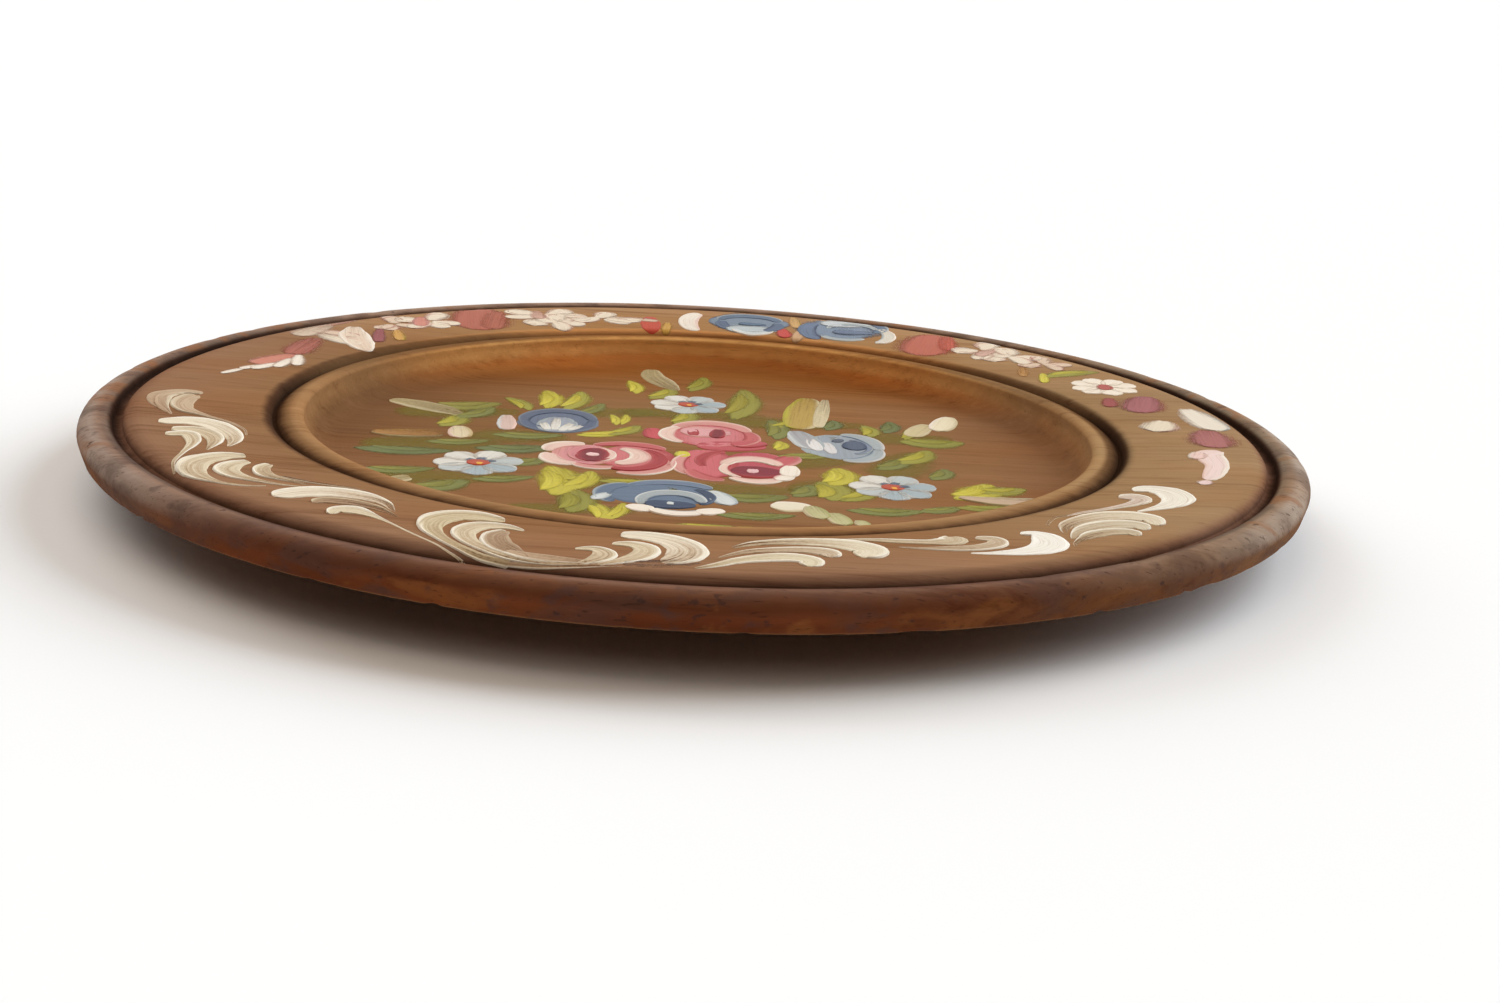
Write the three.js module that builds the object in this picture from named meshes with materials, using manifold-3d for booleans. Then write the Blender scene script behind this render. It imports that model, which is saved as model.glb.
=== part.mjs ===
// A turned wooden wall plate. The plate is turned from a round blank of boards glued edge to edge: a bead and
// a groove run round a flat brim, and a smaller bead and quirk run round a coved well. Behind its upper edge
// sits a brass hanger: a strap rolled into a knuckle, a wire ring that swings in it, and two screws.
//
// Millimetres. +Z is up, out of the well. The plate lies on its foot ring at z = 0, on the axis of the turning.
// +Y is the edge that hangs uppermost, and the boards and their grain run along X.

import * as THREE from 'three';
import { mergeVertices } from 'three/addons/utils/BufferGeometryUtils.js';
import Module from 'manifold-3d';

const wasm = await Module();
wasm.setup();

// Widths across the turned face, from the centre outwards
const floorRadius = 99;
const coveWidth = 8.8;
const lipInnerWidth = 2.4;
const lipOuterWidth = 5;
const quirkWidth = 0.8;
const innerShoulderWidth = 3.4;
const brimFlatWidth = 30.1;
const outerShoulderWidth = 4.3;
const grooveWidth = 2.4;
const beadInnerWidth = 3.3;
const beadOuterWidth = 5.5;

// Heights and thicknesses of the turning
const footDepth = 2.5;
const floorThickness = 7;
const wellDepth = 11;
const brimThickness = 8.5;
const brimInnerDrop = 1.2;
const brimCrown = 0.2;
const lipDrop = 1.9;
const lipInnerDrop = 1.2;
const quirkDepth = 2.8;
const outerShoulderDrop = 2;
const grooveDrop = 0.8;
const beadTopDrop = 0.1;
const beadSideDrop = 3.9;
const beadSideTaper = 1;
const arrisWidth = 1;
const arrisHeight = 0.8;

// Widths across the back, from the well's floor outwards
const footOverhang = 5;
const footWidth = 8;
const footTaper = 1;
const footWallHeight = 3;
const ogeeWidth = 17;

// Blank
const boardWidth = 66;

// Facets, and how far a cutting solid runs past what it cuts
const turningSegments = 80;
const roundSides = 20;
const wireSteps = 56;
const cutMargin = 1;

// Hanger
const strapWidth = 8;
const strapThickness = 0.8;
const strapTailLength = 5.3;
const strapSetback = 6.5;
const knuckleClearance = 0.3;
const knuckleWrap = 290;
const wireRadius = 0.9;
const wireEndGap = 0.4;
const ringSideGap = 1.1;
const ringCornerRadius = 1.5;
const ringLegLength = 1;
const ringTableGap = 0.5;
const screwHeadRadius = 2;
const screwHeadHeight = 1.2;
const screwGap = 0.8;
const screwShankRadius = 1;
const screwLength = 6.5;
const screwPointLength = 1.8;
const screwSlotWidth = 0.5;
const screwSlotDepth = 0.5;
const screwHoleClearance = 0.3;

// Radii that follow from the widths
const mouthRadius = floorRadius + coveWidth;
const lipTopRadius = mouthRadius + lipInnerWidth;
const quirkRadius = lipTopRadius + lipOuterWidth;
const brimInnerRadius = quirkRadius + quirkWidth + innerShoulderWidth;
const brimOuterRadius = brimInnerRadius + brimFlatWidth;
const grooveRadius = brimOuterRadius + outerShoulderWidth;
const beadRadius = grooveRadius + grooveWidth;
const beadTopRadius = beadRadius + beadInnerWidth;
const rimRadius = beadTopRadius + beadOuterWidth;
const footRadius = floorRadius + footOverhang;
const backInnerRadius = footRadius + footTaper + ogeeWidth;

// Heights that follow from the thicknesses
const floorTop = footDepth + floorThickness;
const brimTop = floorTop + wellDepth;
const brimInnerTop = brimTop - brimInnerDrop;
const lipTop = brimTop - lipDrop;
const quirkBottom = brimInnerTop - quirkDepth;
const backHeight = brimTop - brimThickness;
const shoulderFoot = brimTop - outerShoulderDrop;
const beadTop = brimTop - beadTopDrop;

// Places that follow on the hanger, where a reach is measured from the knuckle's axis
const knuckleBore = wireRadius + knuckleClearance;
const knuckleRadius = knuckleBore + strapThickness;
const nearScrewReach = knuckleRadius + screwGap + screwHeadRadius;
const ringReach = nearScrewReach + screwHeadRadius + screwGap + wireRadius;
const farScrewReach = ringReach + wireRadius + screwGap + screwHeadRadius;
const strapReach = farScrewReach + strapTailLength;
const ringHalfWidth = strapWidth / 2 + ringSideGap + wireRadius;
const knuckleY = backInnerRadius + strapSetback + strapReach;
const knuckleZ = backHeight - knuckleRadius;
const screwHoleRadius = screwShankRadius + screwHoleClearance;

const stainedWood = new THREE.MeshStandardMaterial({ color: 0x8a5a38, roughness: 0.55, metalness: 0 });
const agedBrass = new THREE.MeshStandardMaterial({ color: 0xa88545, roughness: 0.42, metalness: 1 });
const brassWire = new THREE.MeshStandardMaterial({ color: 0xb3904c, roughness: 0.35, metalness: 1 });

// A closed mesh as a solid: corners at one place become one, and faces that lose an edge that way go
function solidFrom(geometry) {
  const bare = geometry.clone();
  bare.deleteAttribute('normal');
  bare.deleteAttribute('uv');
  const merged = mergeVertices(bare, 1e-4);
  const corners = merged.index.array;
  const faces = [];
  for (let first = 0; first < corners.length; first += 3) {
    const [a, b, c] = corners.slice(first, first + 3);
    if (a !== b && b !== c && c !== a) faces.push(a, b, c);
  }
  return new wasm.Manifold(new wasm.Mesh({
    numProp: 3,
    vertProperties: new Float32Array(merged.attributes.position.array),
    triVerts: new Uint32Array(faces),
  }));
}

function geometryFrom(solid) {
  const mesh = solid.getMesh();
  const geometry = new THREE.BufferGeometry();
  geometry.setAttribute('position', new THREE.BufferAttribute(mesh.vertProperties, 3));
  geometry.setIndex(new THREE.BufferAttribute(mesh.triVerts, 1));
  geometry.computeVertexNormals();
  return geometry;
}

function named(name, solid, material) {
  const mesh = new THREE.Mesh(geometryFrom(solid), material);
  mesh.name = name;
  return mesh;
}

function boxBetween(low, high) {
  const size = new THREE.Vector3().subVectors(high, low);
  const middle = new THREE.Vector3().addVectors(low, high).multiplyScalar(0.5);
  return solidFrom(new THREE.BoxGeometry(size.x, size.y, size.z).translate(middle.x, middle.y, middle.z));
}

// Turns a profile of (radius, height) points about the upright axis
function turned(profile, segments) {
  return solidFrom(new THREE.LatheGeometry(profile, segments).rotateX(Math.PI / 2));
}

// An upright round hole from one height to another
function uprightBore(radius, y, low, high) {
  const cylinder = new THREE.CylinderGeometry(radius, radius, high - low, roundSides);
  return solidFrom(cylinder.rotateX(Math.PI / 2).translate(0, y, (low + high) / 2));
}

// Carries a profile on by a quarter of an ellipse. A level one leaves level and arrives upright, and one
// that isn't does the reverse.
function quarter(profile, radius, height, level, steps) {
  const start = profile.at(-1).clone();
  for (let step = 1; step <= steps; step += 1) {
    const turn = (Math.PI / 2) * (step / steps);
    const across = level ? Math.sin(turn) : 1 - Math.cos(turn);
    const along = level ? 1 - Math.cos(turn) : Math.sin(turn);
    profile.push(new THREE.Vector2(
      THREE.MathUtils.lerp(start.x, radius, across),
      THREE.MathUtils.lerp(start.y, height, along),
    ));
  }
}

// The well, lip, quirk and brim, from the centre out to the brim's outer edge
function faceProfile() {
  const profile = [new THREE.Vector2(0, floorTop), new THREE.Vector2(floorRadius, floorTop)];
  quarter(profile, mouthRadius, lipTop - lipInnerDrop, true, 6);
  quarter(profile, lipTopRadius, lipTop, false, 2);
  quarter(profile, quirkRadius, quirkBottom, true, 3);
  profile.push(new THREE.Vector2(quirkRadius + quirkWidth, quirkBottom));
  quarter(profile, brimInnerRadius, brimInnerTop, false, 3);
  profile.push(new THREE.Vector2(
    (brimInnerRadius + brimOuterRadius) / 2,
    (brimInnerTop + brimTop) / 2 + brimCrown,
  ));
  profile.push(new THREE.Vector2(brimOuterRadius, brimTop));
  return profile;
}

// The groove and the bead round the rim, carried on down to the back
function addRim(profile) {
  const grooveBottom = shoulderFoot - grooveDrop;
  quarter(profile, grooveRadius, shoulderFoot, true, 3);
  quarter(profile, grooveRadius + grooveWidth / 2, grooveBottom, false, 2);
  quarter(profile, beadRadius, shoulderFoot, true, 2);
  quarter(profile, beadTopRadius, beadTop, false, 3);
  quarter(profile, rimRadius, beadTop - beadSideDrop, true, 5);
  profile.push(new THREE.Vector2(rimRadius - beadSideTaper, backHeight + arrisHeight));
  quarter(profile, rimRadius - beadSideTaper - arrisWidth, backHeight, false, 2);
}

// The flat back of the brim, the ogee, the foot ring and the recess inside it
function addBack(profile) {
  const flatInner = new THREE.Vector2(backInnerRadius, backHeight);
  const footWallTop = new THREE.Vector2(footRadius + footTaper, footWallHeight);
  const middle = (flatInner.x + footWallTop.x) / 2;
  const ogee = new THREE.CubicBezierCurve(
    flatInner,
    new THREE.Vector2(middle, flatInner.y),
    new THREE.Vector2(middle, footWallTop.y),
    footWallTop,
  );
  profile.push(...ogee.getPoints(5));
  profile.push(new THREE.Vector2(footRadius, 0));
  profile.push(new THREE.Vector2(footRadius - footWidth, 0));
  profile.push(new THREE.Vector2(footRadius - footWidth - footTaper, footDepth));
  profile.push(new THREE.Vector2(0, footDepth));
}

function turnedBlank() {
  const profile = faceProfile();
  addRim(profile);
  addBack(profile);
  return turned(profile.reverse(), turningSegments);
}

// The part of the turning between two glue lines
function boardOf(blank, lowY, highY) {
  const beyond = rimRadius + cutMargin;
  const low = new THREE.Vector3(-beyond, lowY, -cutMargin);
  const high = new THREE.Vector3(beyond, highY, brimTop + brimCrown + cutMargin);
  return blank.intersect(boxBetween(low, high));
}

function pilotHole(reach) {
  const depth = screwLength - strapThickness + screwHoleClearance;
  return uprightBore(screwHoleRadius, knuckleY - reach, backHeight - cutMargin, backHeight + depth);
}

// Five boards, the middle one astride the centre, and the outer two as wide as the rim needs
function boards() {
  const blank = turnedBlank();
  const beyond = rimRadius + cutMargin;
  const glueLines = [-beyond, -1.5 * boardWidth, -0.5 * boardWidth, 0.5 * boardWidth, 1.5 * boardWidth, beyond];
  const names = ['bottom_board', 'lower_board', 'middle_board', 'upper_board', 'top_board'];
  const holes = [nearScrewReach, farScrewReach].map(pilotHole);
  return names.map((name, index) => {
    let board = boardOf(blank, glueLines[index], glueLines[index + 1]);
    for (const hole of holes) board = board.subtract(hole);
    return named(name, board, stainedWood);
  });
}

// The strap's side view, across Y and Z from the knuckle's axis: a flat tail and a rolled knuckle
function strapSideView() {
  const wrap = THREE.MathUtils.degToRad(knuckleWrap);
  const start = Math.PI / 2;
  const side = new THREE.Shape();
  side.moveTo(-strapReach, knuckleRadius);
  side.lineTo(0, knuckleRadius);
  side.absarc(0, 0, knuckleRadius, start, start - wrap, true);
  side.absarc(0, 0, knuckleBore, start - wrap, start, false);
  side.lineTo(-strapReach, knuckleBore);
  side.closePath();
  return side;
}

// The strap's plan: straight sides, square at the knuckle and round at the tail
function strapPlan() {
  const half = strapWidth / 2;
  const plan = new THREE.Shape();
  plan.moveTo(half, knuckleRadius + cutMargin);
  plan.lineTo(-half, knuckleRadius + cutMargin);
  plan.lineTo(-half, half - strapReach);
  plan.absarc(0, half - strapReach, half, Math.PI, 2 * Math.PI, false);
  plan.closePath();
  return plan;
}

function hangerStrap() {
  const rolled = new THREE.ExtrudeGeometry(strapSideView(), {
    depth: strapWidth, bevelEnabled: false, curveSegments: 16,
  });
  const alongX = new THREE.Vector3(1, 0, 0);
  const alongY = new THREE.Vector3(0, 1, 0);
  const alongZ = new THREE.Vector3(0, 0, 1);
  rolled.applyMatrix4(new THREE.Matrix4().makeBasis(alongY, alongZ, alongX));
  rolled.translate(-strapWidth / 2, knuckleY, knuckleZ);
  const outline = new THREE.ExtrudeGeometry(strapPlan(), {
    depth: 4 * knuckleRadius, bevelEnabled: false, curveSegments: 8,
  });
  outline.translate(0, knuckleY, knuckleZ - 2 * knuckleRadius);
  let strap = solidFrom(rolled).intersect(solidFrom(outline));
  for (const reach of [nearScrewReach, farScrewReach]) {
    strap = strap.subtract(uprightBore(screwHoleRadius, knuckleY - reach, knuckleZ, backHeight + cutMargin));
  }
  return named('hanger_strap', strap, agedBrass);
}

// Half the ring's wire, from the butted ends in the knuckle round to the far end, hanging along -Z
function ringCentreLine() {
  const corner = ringCornerRadius;
  const half = ringHalfWidth;
  const shoulder = -(corner + ringLegLength);
  const outline = new THREE.Path();
  outline.moveTo(wireEndGap / 2, 0);
  outline.lineTo(half - corner, 0);
  outline.absarc(half - corner, -corner, corner, Math.PI / 2, 0, true);
  outline.lineTo(half, shoulder);
  outline.absellipse(0, shoulder, half, ringReach + shoulder, 0, -Math.PI, true);
  outline.lineTo(-half, -corner);
  outline.absarc(corner - half, -corner, corner, Math.PI, Math.PI / 2, true);
  outline.lineTo(-wireEndGap / 2, 0);
  return outline;
}

// A flat path as a curve in space that ExtrudeGeometry can follow
class HangingPath extends THREE.Curve {
  constructor(outline) {
    super();
    this.outline = outline;
  }

  getPoint(share, target = new THREE.Vector3()) {
    const point = this.outline.getPointAt(share);
    return target.set(point.x, 0, point.y);
  }
}

// The ring hangs straight down, or leans out just enough to stay off the table
function hangerRing() {
  const section = new THREE.Shape();
  section.absarc(0, 0, wireRadius, 0, 2 * Math.PI, false);
  const wire = new THREE.ExtrudeGeometry(section, {
    steps: wireSteps, curveSegments: 5, bevelEnabled: false, extrudePath: new HangingPath(ringCentreLine()),
  });
  const drop = Math.min(1, (knuckleZ - wireRadius - ringTableGap) / ringReach);
  wire.rotateX(Math.acos(drop)).translate(0, knuckleY, knuckleZ);
  return named('hanger_ring', solidFrom(wire), brassWire);
}

// A round-head screw with a slot, driven upwards, with its head on the strap
function hangerScrew(name, reach, slotAngle) {
  const headSeat = backHeight - strapThickness;
  const headTop = headSeat - screwHeadHeight;
  const profile = [new THREE.Vector2(0, headTop)];
  quarter(profile, screwHeadRadius, headSeat, true, 5);
  profile.push(new THREE.Vector2(screwShankRadius, headSeat));
  profile.push(new THREE.Vector2(screwShankRadius, headSeat + screwLength - screwPointLength));
  profile.push(new THREE.Vector2(0, headSeat + screwLength));
  const slot = new THREE.BoxGeometry(screwSlotWidth, 3 * screwHeadRadius, 2 * screwSlotDepth);
  slot.rotateZ(THREE.MathUtils.degToRad(slotAngle)).translate(0, 0, headTop);
  const screw = turned(profile, roundSides).subtract(solidFrom(slot)).translate([0, knuckleY - reach, 0]);
  return named(name, screw, agedBrass);
}

const plate = new THREE.Group();
plate.name = 'wall_plate';
plate.add(...boards());
plate.add(hangerStrap());
plate.add(hangerRing());
plate.add(hangerScrew('near_screw', nearScrewReach, 25));
plate.add(hangerScrew('far_screw', farScrewReach, -50));

export default plate;
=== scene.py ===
import math

import bmesh
import bpy
from mathutils import Matrix, Vector, noise


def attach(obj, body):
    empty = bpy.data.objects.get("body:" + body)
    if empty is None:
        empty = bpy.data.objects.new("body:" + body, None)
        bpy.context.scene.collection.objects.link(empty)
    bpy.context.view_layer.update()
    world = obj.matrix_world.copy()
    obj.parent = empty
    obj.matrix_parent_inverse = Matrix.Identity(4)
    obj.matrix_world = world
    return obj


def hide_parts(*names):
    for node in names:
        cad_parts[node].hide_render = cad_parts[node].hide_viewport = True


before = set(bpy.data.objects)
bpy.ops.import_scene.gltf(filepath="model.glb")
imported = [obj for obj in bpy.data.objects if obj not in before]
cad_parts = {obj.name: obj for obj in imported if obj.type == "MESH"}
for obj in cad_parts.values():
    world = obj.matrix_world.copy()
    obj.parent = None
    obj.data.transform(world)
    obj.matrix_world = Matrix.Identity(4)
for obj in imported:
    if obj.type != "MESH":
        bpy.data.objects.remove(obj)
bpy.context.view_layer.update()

MM = 0.001

# Turned radii, from the well outwards
FLOOR_RADIUS = 99
MOUTH_RADIUS = 107.8
LIP_TOP_RADIUS = 110.2
QUIRK_RADIUS = 115.2
QUIRK_WIDTH = 0.8
BRIM_INNER_RADIUS = 119.4
BRIM_OUTER_RADIUS = 149.5
GROOVE_RADIUS = 153.8
GROOVE_WIDTH = 2.4
BEAD_TOP_RADIUS = 159.5
RIM_RADIUS = 165

# Heights of the face
FLOOR_TOP = 9.5
COVE_TOP = 17.4
LIP_TOP = 18.6
QUIRK_BOTTOM = 16.5
BRIM_INNER_TOP = 19.3
BRIM_TOP = 20.5
BRIM_CROWN = 0.2
SHOULDER_FOOT = 18.5
GROOVE_BOTTOM = 17.7
BEAD_TOP = 20.4
BEAD_SIDE = 16.5

# The back
BACK_HEIGHT = 12
ARRIS_HEIGHT = 0.8
SIDE_TAPER = 1
BACK_INNER_RADIUS = 122
FOOT_WALL = (105, 3)
FOOT_OUTER_RADIUS = 104
FOOT_INNER_RADIUS = 96
FOOT_DEPTH = 2.5

BOARD_WIDTH = 66
TURNING_SEGMENTS = 480

# How deep age has sunk the surface at most: everywhere, on the rim, in its dents and in chips at its foot
WAVE_DEPTH = 0.03
RIM_WAVE_DEPTH = 0.1
DENT_DEPTH = 0.3
CHIP_DEPTH = 0.5

# Hanger
KNUCKLE_Y = 146
KNUCKLE_Z = 10
KNUCKLE_RADIUS = 2
KNUCKLE_WRAP = 290
STRAP_THICKNESS = 0.8
STRAP_WIDTH = 8
STRAP_REACH = 17.5
STRAP_EASE = 0.22
WIRE_RADIUS = 0.9
WIRE_END_EASE = 0.14
WIRE_PLAY = 0.008
RING_HALF_WIDTH = 6
RING_CORNER = 1.5
RING_LEG = 1
RING_REACH = 8.5
RING_END_GAP = 0.4

# Each screw's place along Y and its slot's angle, then what both share; the bore's levels are from the back
SCREWS = {"near_screw": (141.2, 25), "far_screw": (133.8, -50)}
SCREW_HOLE_RADIUS = 1.3
BORE_LEVELS = (-2, 6)
HEAD_RADIUS = 2
HEAD_HEIGHT = 1.2
SHANK_RADIUS = 1
SHANK_LENGTH = 4.7
POINT_LENGTH = 1.8
SLOT_WIDTH = 0.5


def linear(red, green, blue):
    """A colour as seen on a screen, 0 to 255, as the light values that a shader takes."""
    values = []
    for share in (red / 255, green / 255, blue / 255):
        values.append(share / 12.92 if share <= 0.04045 else ((share + 0.055) / 1.055) ** 2.4)
    return (*values, 1)


def blended(first, second, share):
    return tuple(a + (b - a) * share for a, b in zip(first, second))


def around(x, y, across, deep, degrees):
    """A point of the ellipse round x and y."""
    turn = math.radians(degrees)
    return x + across * math.cos(turn), y + deep * math.sin(turn)


def smooth(low, high, value):
    share = min(1, max(0, (value - low) / (high - low)))
    return share * share * (3 - 2 * share)


class Field:
    """A shader value that Python's operators work on."""

    def __init__(self, nodes, socket):
        self.nodes = nodes
        self.socket = socket

    def maths(self, operation, *values):
        return self.nodes.node("ShaderNodeMath", {"operation": operation}, dict(enumerate(values)))

    def __add__(self, other):
        return self.maths("ADD", self, other)

    __radd__ = __add__

    def __sub__(self, other):
        return self.maths("SUBTRACT", self, other)

    def __rsub__(self, other):
        return self.maths("SUBTRACT", other, self)

    def __mul__(self, other):
        return self.maths("MULTIPLY", self, other)

    __rmul__ = __mul__

    def __truediv__(self, other):
        return self.maths("DIVIDE", self, other)

    def __pow__(self, other):
        return self.maths("POWER", self, other)

    def most(self, other):
        return self.maths("MAXIMUM", self, other)

    def floor(self):
        return self.maths("FLOOR", self)

    def sine(self):
        return self.maths("SINE", self)

    def between(self, low, high):
        """Nought at low, one at high, and smooth in between, whichever of the two is larger."""
        settings = {"interpolation_type": "SMOOTHSTEP", "clamp": True}
        values = {"Value": self, "From Min": low, "From Max": high, "To Min": 0.0, "To Max": 1.0}
        return self.nodes.node("ShaderNodeMapRange", settings, values)


class Nodes:
    """The node tree of a material or of the world."""

    def __init__(self, tree):
        self.tree = tree

    def node(self, kind, settings, values, output=0):
        made = self.tree.nodes.new(kind)
        for name, setting in settings.items():
            if name == "stops":
                self.set_stops(made.color_ramp.elements, setting)
            else:
                setattr(made, name, setting)
        for name, value in values.items():
            self.feed(made.inputs[name], value)
        return Field(self, made.outputs[output])

    def set_stops(self, elements, stops):
        while len(elements) < len(stops):
            elements.new(1)
        for element, (place, colour) in zip(elements, stops):
            element.position = place
            element.color = colour

    def feed(self, socket, value):
        if isinstance(value, Field):
            self.tree.links.new(value.socket, socket)
        else:
            socket.default_value = value


class Finish(Nodes):
    """One material."""

    def __init__(self, name):
        self.material = bpy.data.materials.new(name)
        self.material.use_nodes = True
        super().__init__(self.material.node_tree)
        self.shader = self.tree.nodes["Principled BSDF"]

    def shade(self, **values):
        """Feeds the surface shader, whose socket names are written with underscores here."""
        for name, value in values.items():
            self.feed(self.shader.inputs[name.replace("_", " ")], value)

    def place(self):
        """Where a point is on the object, in millimetres."""
        metres = self.node("ShaderNodeTexCoord", {}, {}, "Object")
        return self.node("ShaderNodeVectorMath", {"operation": "SCALE"}, {0: metres, "Scale": 1 / MM})

    def attribute(self, name, output):
        return self.node("ShaderNodeAttribute", {"attribute_name": name}, {}, output)

    def cloud(self, vector, scale=(1, 1, 1), detail=3, distortion=0, shift=(0, 0, 0), roughness=0.5):
        """Noise from nought to one, finer along an axis as its scale is larger."""
        mapping = {"Vector": vector, "Scale": scale, "Location": shift}
        values = {
            "Vector": self.node("ShaderNodeMapping", {}, mapping), "Scale": 1.0, "Detail": detail,
            "Distortion": distortion, "Roughness": roughness,
        }
        return self.node("ShaderNodeTexNoise", {}, values, "Fac")

    def mixed(self, share, first, second, blend="MIX"):
        settings = {"data_type": "RGBA", "blend_type": blend, "clamp_factor": True}
        return self.node("ShaderNodeMix", settings, {0: share, 6: first, 7: second}, 2)

    def layered(self, colour, *layers, blend="MIX"):
        """A colour with tones laid over it in turn, each by its share."""
        for share, tone in layers:
            colour = self.mixed(share, colour, linear(*tone), blend)
        return colour

    def bump(self, height, strength, distance):
        values = {"Height": height, "Strength": strength, "Distance": distance}
        return self.node("ShaderNodeBump", {}, values)


def new_piece(name, mesh, body, *materials):
    piece = bpy.data.objects.new(name, mesh)
    bpy.context.scene.collection.objects.link(piece)
    for material in materials:
        mesh.materials.append(material)
    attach(piece, body)
    return piece


def shade_smooth(mesh, degrees=32):
    mesh.polygons.foreach_set("use_smooth", [True] * len(mesh.polygons))
    mesh.set_sharp_from_angle(angle=math.radians(degrees))


def as_mesh(made, name):
    mesh = bpy.data.meshes.new(name)
    made.to_mesh(mesh)
    made.free()
    return mesh


def cut(mesh, cutter, name):
    """What is left of a closed mesh when another is taken out of it."""
    scene = bpy.context.scene
    blank = bpy.data.objects.new(name, mesh)
    tool = bpy.data.objects.new(name + "_tool", cutter)
    for item in (blank, tool):
        scene.collection.objects.link(item)
    modifier = blank.modifiers.new("cut", "BOOLEAN")
    modifier.operation = "DIFFERENCE"
    modifier.solver = "EXACT"
    modifier.object = tool
    graph = bpy.context.evaluated_depsgraph_get()
    result = bpy.data.meshes.new_from_object(blank.evaluated_get(graph))
    for item in (blank, tool):
        bpy.data.objects.remove(item)
    return result


# The turned face, in fine steps
def quarter(profile, radius, height, level, steps):
    start_radius, start_height = profile[-1]
    for step in range(1, steps + 1):
        turn = math.pi / 2 * step / steps
        across = math.sin(turn) if level else 1 - math.cos(turn)
        along = 1 - math.cos(turn) if level else math.sin(turn)
        profile.append((
            start_radius + (radius - start_radius) * across,
            start_height + (height - start_height) * along,
        ))


def straight(profile, radius, height, steps):
    start = profile[-1]
    for step in range(1, steps + 1):
        profile.append(blended(start, (radius, height), step / steps))


def face_profile():
    profile = [(0, FLOOR_TOP)]
    straight(profile, FLOOR_RADIUS, FLOOR_TOP, 33)
    quarter(profile, MOUTH_RADIUS, COVE_TOP, True, 14)
    quarter(profile, LIP_TOP_RADIUS, LIP_TOP, False, 6)
    quarter(profile, QUIRK_RADIUS, QUIRK_BOTTOM, True, 8)
    straight(profile, QUIRK_RADIUS + QUIRK_WIDTH, QUIRK_BOTTOM, 1)
    quarter(profile, BRIM_INNER_RADIUS, BRIM_INNER_TOP, False, 6)
    for step in range(1, 13):
        share = step / 12
        radius, height = blended((BRIM_INNER_RADIUS, BRIM_INNER_TOP), (BRIM_OUTER_RADIUS, BRIM_TOP), share)
        profile.append((radius, height + BRIM_CROWN * (1 - abs(2 * share - 1))))
    quarter(profile, GROOVE_RADIUS, SHOULDER_FOOT, True, 7)
    quarter(profile, GROOVE_RADIUS + GROOVE_WIDTH / 2, GROOVE_BOTTOM, False, 4)
    quarter(profile, GROOVE_RADIUS + GROOVE_WIDTH, SHOULDER_FOOT, True, 4)
    quarter(profile, BEAD_TOP_RADIUS, BEAD_TOP, False, 8)
    quarter(profile, RIM_RADIUS, BEAD_SIDE, True, 12)
    return profile


def back_profile(profile):
    straight(profile, RIM_RADIUS - SIDE_TAPER, BACK_HEIGHT + ARRIS_HEIGHT, 3)
    quarter(profile, RIM_RADIUS - SIDE_TAPER - 1, BACK_HEIGHT, False, 4)
    straight(profile, BACK_INNER_RADIUS, BACK_HEIGHT, 10)
    middle = (BACK_INNER_RADIUS + FOOT_WALL[0]) / 2
    for step in range(1, 15):
        share = step / 14
        rest = 1 - share
        radius = BACK_INNER_RADIUS * rest**3 + 3 * middle * share * rest + FOOT_WALL[0] * share**3
        height = BACK_HEIGHT * rest**2 * (1 + 2 * share) + FOOT_WALL[1] * share**2 * (3 - 2 * share)
        profile.append((radius, height))
    straight(profile, FOOT_OUTER_RADIUS, 0, 2)
    straight(profile, FOOT_INNER_RADIUS, 0, 3)
    straight(profile, FOOT_INNER_RADIUS - 1, FOOT_DEPTH, 2)
    straight(profile, 0, FOOT_DEPTH, 20)


FACE = face_profile()


def face_height(radius):
    """The height of the turned face at a radius."""
    low, high = 0, len(FACE) - 1
    while high - low > 1:
        middle = (low + high) // 2
        if FACE[middle][0] <= radius:
            low = middle
        else:
            high = middle
    (start, foot), (end, head) = FACE[low], FACE[high]
    share = min(1, max(0, (radius - start) / max(end - start, 1e-6)))
    return foot + (head - foot) * share


def worn_depth(point, radius):
    """How far age has sunk the surface at a point, in millimetres: dents in the rim, and a slight wave."""
    x, y, z = point
    wave = 0.5 + 0.5 * noise.noise(Vector((x * 0.02, y * 0.05, z * 0.1)))
    depth = WAVE_DEPTH * wave
    if radius > GROOVE_RADIUS:
        dent = noise.noise(Vector((x * 0.045, y * 0.09, z * 0.16 + 40)))
        depth += RIM_WAVE_DEPTH * wave + DENT_DEPTH * smooth(0.25, 0.75, dent)
        chip = noise.noise(Vector((x * 0.21, y * 0.21, z * 0.3 + 90)))
        if z < BACK_HEIGHT + 1.5:
            depth += CHIP_DEPTH * smooth(0.42, 0.75, chip)
    return depth


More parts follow.
